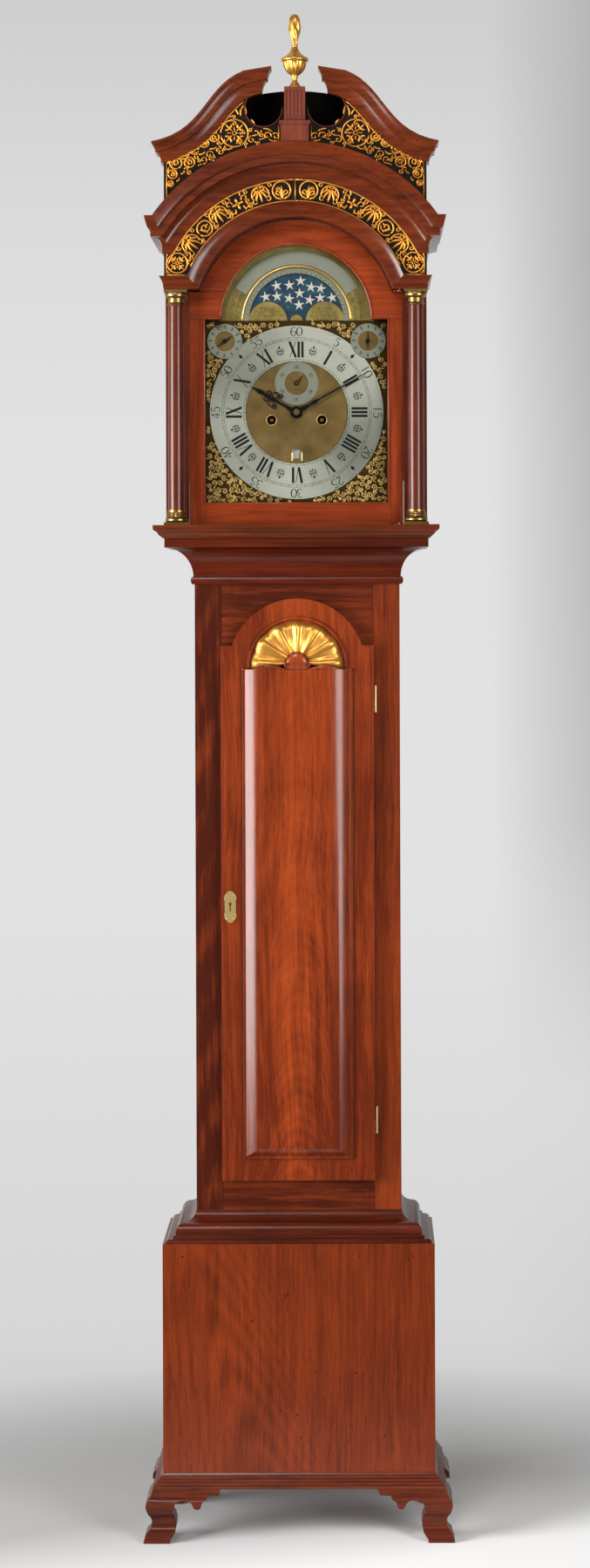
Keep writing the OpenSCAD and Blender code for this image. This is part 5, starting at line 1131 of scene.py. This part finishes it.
door_wood = mahogany("mahogany, hood door, shellac polish", "#a24219", "#5a1f0c", "Z", "X",
                     door_head, head_line, gloss=0.28, seed=16.1)
dress(door_wood, "hood_door", moulded=True)
OPEN_SIDE, OPEN_LOW, OPEN_HIGH, OPEN_RADIUS, THUMB = 151.2, 1686.2, 1989.8, 124.4, 1.8
corners = [(-OPEN_SIDE, OPEN_LOW), (OPEN_SIDE, OPEN_LOW), (OPEN_SIDE, OPEN_HIGH),
           (OPEN_RADIUS, OPEN_HIGH)]
shoulders = [(-OPEN_RADIUS, OPEN_HIGH), (-OPEN_SIDE, OPEN_HIGH)]
round_opening = ([(x, z, THUMB) for x, z in corners]
                 + curl(*MOON, 4, 176, OPEN_RADIUS, OPEN_RADIUS, THUMB, THUMB, 6)
                 + [(x, z, THUMB) for x, z in shoulders])
piece("thumb_moulding", [strip(round_opening, -64, 1.6, closed=True)], door_wood, "hood_door")


def clear_glass():
    """Thin old glass: clear straight on, with a faint reflection at a slant."""
    made = bpy.data.materials.new("crown glass, clear")
    made.use_nodes = True
    tree = made.node_tree
    tree.nodes.remove(tree.nodes["Principled BSDF"])
    clear = add(tree, "ShaderNodeBsdfTransparent", values={0: (0.97, 0.985, 0.975, 1)})
    shine = add(tree, "ShaderNodeBsdfGlossy", values={"Roughness": 0.03})
    rim = add(tree, "ShaderNodeFresnel", values={"IOR": 1.2})
    mixed = add(tree, "ShaderNodeMixShader",
                links={0: rim.outputs[0], 1: clear.outputs[0], 2: shine.outputs[0]})
    tree.links.new(mixed.outputs[0], tree.nodes["Material Output"].inputs["Surface"])
    return made


dress(clear_glass(), "hood_door_glass")

# Trains: cut brass wheels on steel arbors, with the anchor, the hammer, the barrels that
# the lines wind on, and the pulleys.
dress(plain_brass, "centre_wheel", "minute_wheel", "third_wheel", "escape_wheel", "anchor",
      "pin_wheel", "hammer", "going_great_wheel", "strike_great_wheel", "going_barrel",
      "strike_barrel", "going_pulley", "strike_pulley")

# Pendulum and weights: a brass-faced bob on a flat rod, and two cylinders cased in brass.
dress(brass, "pendulum", "going_weight", "strike_weight")

# Hands: sawn, pierced and filed from steel, polished and blued.
blued = metal("steel, polished and blued", "#2a2d36", 0.32, 0.2, stain=0.1, dark="#101116")
dress(blued, "minute_hand", "hour_hand", "seconds_hand", "corner_hand_left", "corner_hand_right")

# Moon disc: sheet brass painted blue with thirteen stars; the moons, hidden behind the
# humps in the photograph, are plain pale rounds.


def painted_sky():
    """Blue oil paint, brushed by hand: patchy, a little green and dull with age."""
    made, tree, shader = surface("moon disc, oil paint, blue", Roughness=0.38)
    place = add(tree, "ShaderNodeTexCoord").outputs["Object"]
    cloud = add(tree, "ShaderNodeTexNoise",
                values={"Scale": per(13.33), "Detail": 6, "Roughness": 0.7},
                links={"Vector": place})
    tree.links.new(ramp(tree, cloud.outputs[0], (0.3, colour("#04202f")), (0.5, colour("#07324b")),
                        (0.62, colour("#0d4650")), (0.74, colour("#37757a"))),
                   shader.inputs["Base Color"])
    return made


dress(painted_sky(), "moon_disc")


def flat_shape(outline, y, thick):
    """A thin flat shape that faces -Y."""
    n = len(outline)
    points = [(x, y, z) for x, z in outline] + [(x, y - thick, z) for x, z in outline]
    sides = [(i, (i + 1) % n, n + (i + 1) % n, n + i) for i in range(n)]
    return points, sides + [list(range(n)), list(range(n, 2 * n))]


def star(x, z, turn):
    """A five-pointed star with narrow arms; reach has its points and hollows in turn."""
    reach = (9.6, 3.2) * 5
    return [(x + r * math.sin(math.radians(turn + 36 * i)),
             z + r * math.cos(math.radians(turn + 36 * i))) for i, r in enumerate(reach)]


# Middles of the stars, in mm from the disc's middle
STARS = ((7.0384, 66.0373), (-32.3346, 58.0766), (-11.4647, 58.9372), (24.2507, 55.7099),
         (40.1720, 53.5584), (5.3172, 45.5977), (-50.6225, 39.7886), (-31.9042, 40.6492),
         (-11.8950, 36.9916), (21.6688, 34.4098), (39.3114, 38.0674), (59.1054, 38.0674),
         (4.2414, 26.2340))
sky = []
for i, (x, up) in enumerate(STARS):
    tilt = 12 * math.sin(5 * i)
    sky += [star(x, MOON[1] + up, tilt), star(-x, MOON[1] - up, 180 + tilt)]
pale = surface("moon disc, oil paint, pinkish white", Base_Color=colour("#c4b8ac"),
               Roughness=0.45)[0]
MOON_RADIUS = 20
moons = [[(s * HUMP_X + MOON_RADIUS * math.cos(math.radians(a)),
           MOON[1] + MOON_RADIUS * math.sin(math.radians(a)))
          for a in range(0, 360, 12)] for s in (-1, 1)]
piece("stars_and_moons", [flat_shape(line, -34.6, 0.08) for line in sky + moons], pale,
      "moon_disc", smooth=False)

# Date ring: brass, silvered and turned like the chapter ring. It turns behind the square
# opening of the dial, so that one number shows at a time.
dress(silver, "date_ring")

# Floor and light: a pale studio floor that fades into the backdrop, and soft boxes.


def backdrop():
    """Grey ground seen by the camera and, behind the clock, in metal and glass; the dark
    studio in front of it, and a soft even fill."""
    world = bpy.data.worlds.new("studio")
    bpy.context.scene.world = world
    world.use_nodes = True
    tree = world.node_tree
    seen = tree.nodes["Background"]
    ray = add(tree, "ShaderNodeLightPath")
    direction = add(tree, "ShaderNodeTexCoord").outputs["Generated"]
    x, y, z = add(tree, "ShaderNodeSeparateXYZ", links={0: direction}).outputs
    height = calc(tree, "MULTIPLY_ADD", z, 2.2, 0.6)
    left = ramp(tree, height, (0.02, colour("#d2d2d2")), (0.045, colour("#b4b4b4")),
                (0.068, colour("#adadad")), (0.085, colour("#bababa")), (0.11, colour("#cdcdcd")),
                (0.15, colour("#d6d6d6")), (0.27, colour("#dbdbdb")), (0.42, colour("#e2e2e2")),
                (0.7, colour("#e2e2e2")), (0.84, colour("#dbdbdb")), (0.97, colour("#cfcfcf")))
    right = ramp(tree, height, (0.02, colour("#e4e4e4")), (0.05, colour("#dadada")),
                 (0.075, colour("#c9c9c9")), (0.11, colour("#c7c7c7")), (0.15, colour("#cfcfcf")),
                 (0.27, colour("#d9d9d9")), (0.4, colour("#dadada")), (0.5, colour("#d7d7d7")),
                 (0.7, colour("#cfcfcf")), (0.82, colour("#c8c8c8")), (0.97, colour("#cdcdcd")))
    across = calc(tree, "MULTIPLY_ADD", x, 30, -1.15, clamp=True)
    even = blend_colour(tree, across, left, right)
    side = ramp(tree, calc(tree, "MULTIPLY", x, 10), (0.36, 1.0), (0.68, 0.76))
    high = calc(tree, "MULTIPLY_ADD", height, 6, -1.8, clamp=True)
    tree.links.new(blend_colour(tree, high, even, side, "MULTIPLY"), seen.inputs[0])
    fill = add(tree, "ShaderNodeBackground", values={0: (1, 0.97, 0.93, 1), 1: 0.24})
    dark = add(tree, "ShaderNodeBackground", values={0: (1, 0.97, 0.93, 1), 1: 0.05})
    behind = add(tree, "ShaderNodeMixShader", links={
        0: calc(tree, "MULTIPLY_ADD", y, 4, 0.2, clamp=True), 1: dark.outputs[0],
        2: seen.outputs[0]})
    shiny = calc(tree, "MAXIMUM", ray.outputs["Is Glossy Ray"], ray.outputs["Is Transmission Ray"])
    lit = add(tree, "ShaderNodeMixShader", links={0: shiny, 1: fill.outputs[0],
                                                  2: behind.outputs[0]})
    mixed = add(tree, "ShaderNodeMixShader", links={0: ray.outputs["Is Camera Ray"],
                                                    1: lit.outputs[0], 2: seen.outputs[0]})
    tree.links.new(mixed.outputs[0], tree.nodes["World Output"].inputs["Surface"])


backdrop()


def floor():
    """White paper that fades out into the backdrop, with painted shade to the left and painted
    light towards the front.
    """
    bpy.ops.mesh.primitive_plane_add(size=6, location=(0, 0, -0.0002))
    made = bpy.context.object
    made.name = "floor"
    paper, tree, shader = surface("studio floor, pale paper, painted light and shade", Roughness=0.7,
                                  Specular_IOR_Level=0.1)
    place = add(tree, "ShaderNodeTexCoord").outputs["Object"]
    x, y, z = add(tree, "ShaderNodeSeparateXYZ", links={0: place}).outputs
    # Painted light and shade: the paper's colour is darker to the left and behind, and brighter to
    # the right and in front
    tone = calc(tree, "ADD", calc(tree, "MULTIPLY_ADD", x, 0.8, 0.3),
                calc(tree, "MULTIPLY", y, -1.3))
    tree.links.new(ramp(tree, tone, (0.05, colour("#b4b4b4")), (0.4, colour("#d8d8d8")),
                        (0.75, colour("#f4f4f4"))), shader.inputs["Base Color"])
    far = add(tree, "ShaderNodeVectorMath", {"operation": "LENGTH"}, links={0: place})
    fade = calc(tree, "MULTIPLY_ADD", far.outputs["Value"], -1.4, 1.7, clamp=True)
    gone = add(tree, "ShaderNodeBsdfTransparent")
    mixed = add(tree, "ShaderNodeMixShader", links={0: fade, 1: gone.outputs[0],
                                                    2: shader.outputs[0]})
    tree.links.new(mixed.outputs[0], tree.nodes["Material Output"].inputs["Surface"])
    made.data.materials.append(paper)


floor()


def soft_box(name, place, aim, size, power):
    """A rectangular soft light pointed at a place."""
    data = bpy.data.lights.new(name, "AREA")
    data.shape = "RECTANGLE"
    data.size, data.size_y = size
    data.energy = power
    made = bpy.data.objects.new(name, data)
    bpy.context.scene.collection.objects.link(made)
    made.location = place
    way = Vector([a - b for a, b in zip(aim, place)])
    made.rotation_euler = way.to_track_quat("-Z", "Y").to_euler()


soft_box("left soft box", (-3.5, -2.0, 1.35), (0, 0, 1.25), (2.3, 2.3), 330)
soft_box("right soft box", (2.4, -3.2, 1.5), (0, 0, 1.3), (1.5, 2.2), 125)
soft_box("front soft box, high", (-0.8, -4.2, 4.2), (0, 0, 1.3), (1.2, 1.2), 70)

# Camera: level, at mid height, a little to the right of the clock's middle.
view = bpy.data.cameras.new("camera")
view.lens = 79.7
view.sensor_width = 36
view.shift_x = -0.0425
view.shift_y = -0.111
camera = bpy.data.objects.new("camera", view)
bpy.context.scene.collection.objects.link(camera)
camera.location = (0.106, -5.76, 1.511)
camera.rotation_euler = (math.radians(90), math.radians(0.19), 0)
bpy.context.scene.camera = camera
bpy.context.scene.view_settings.view_transform = "Standard"
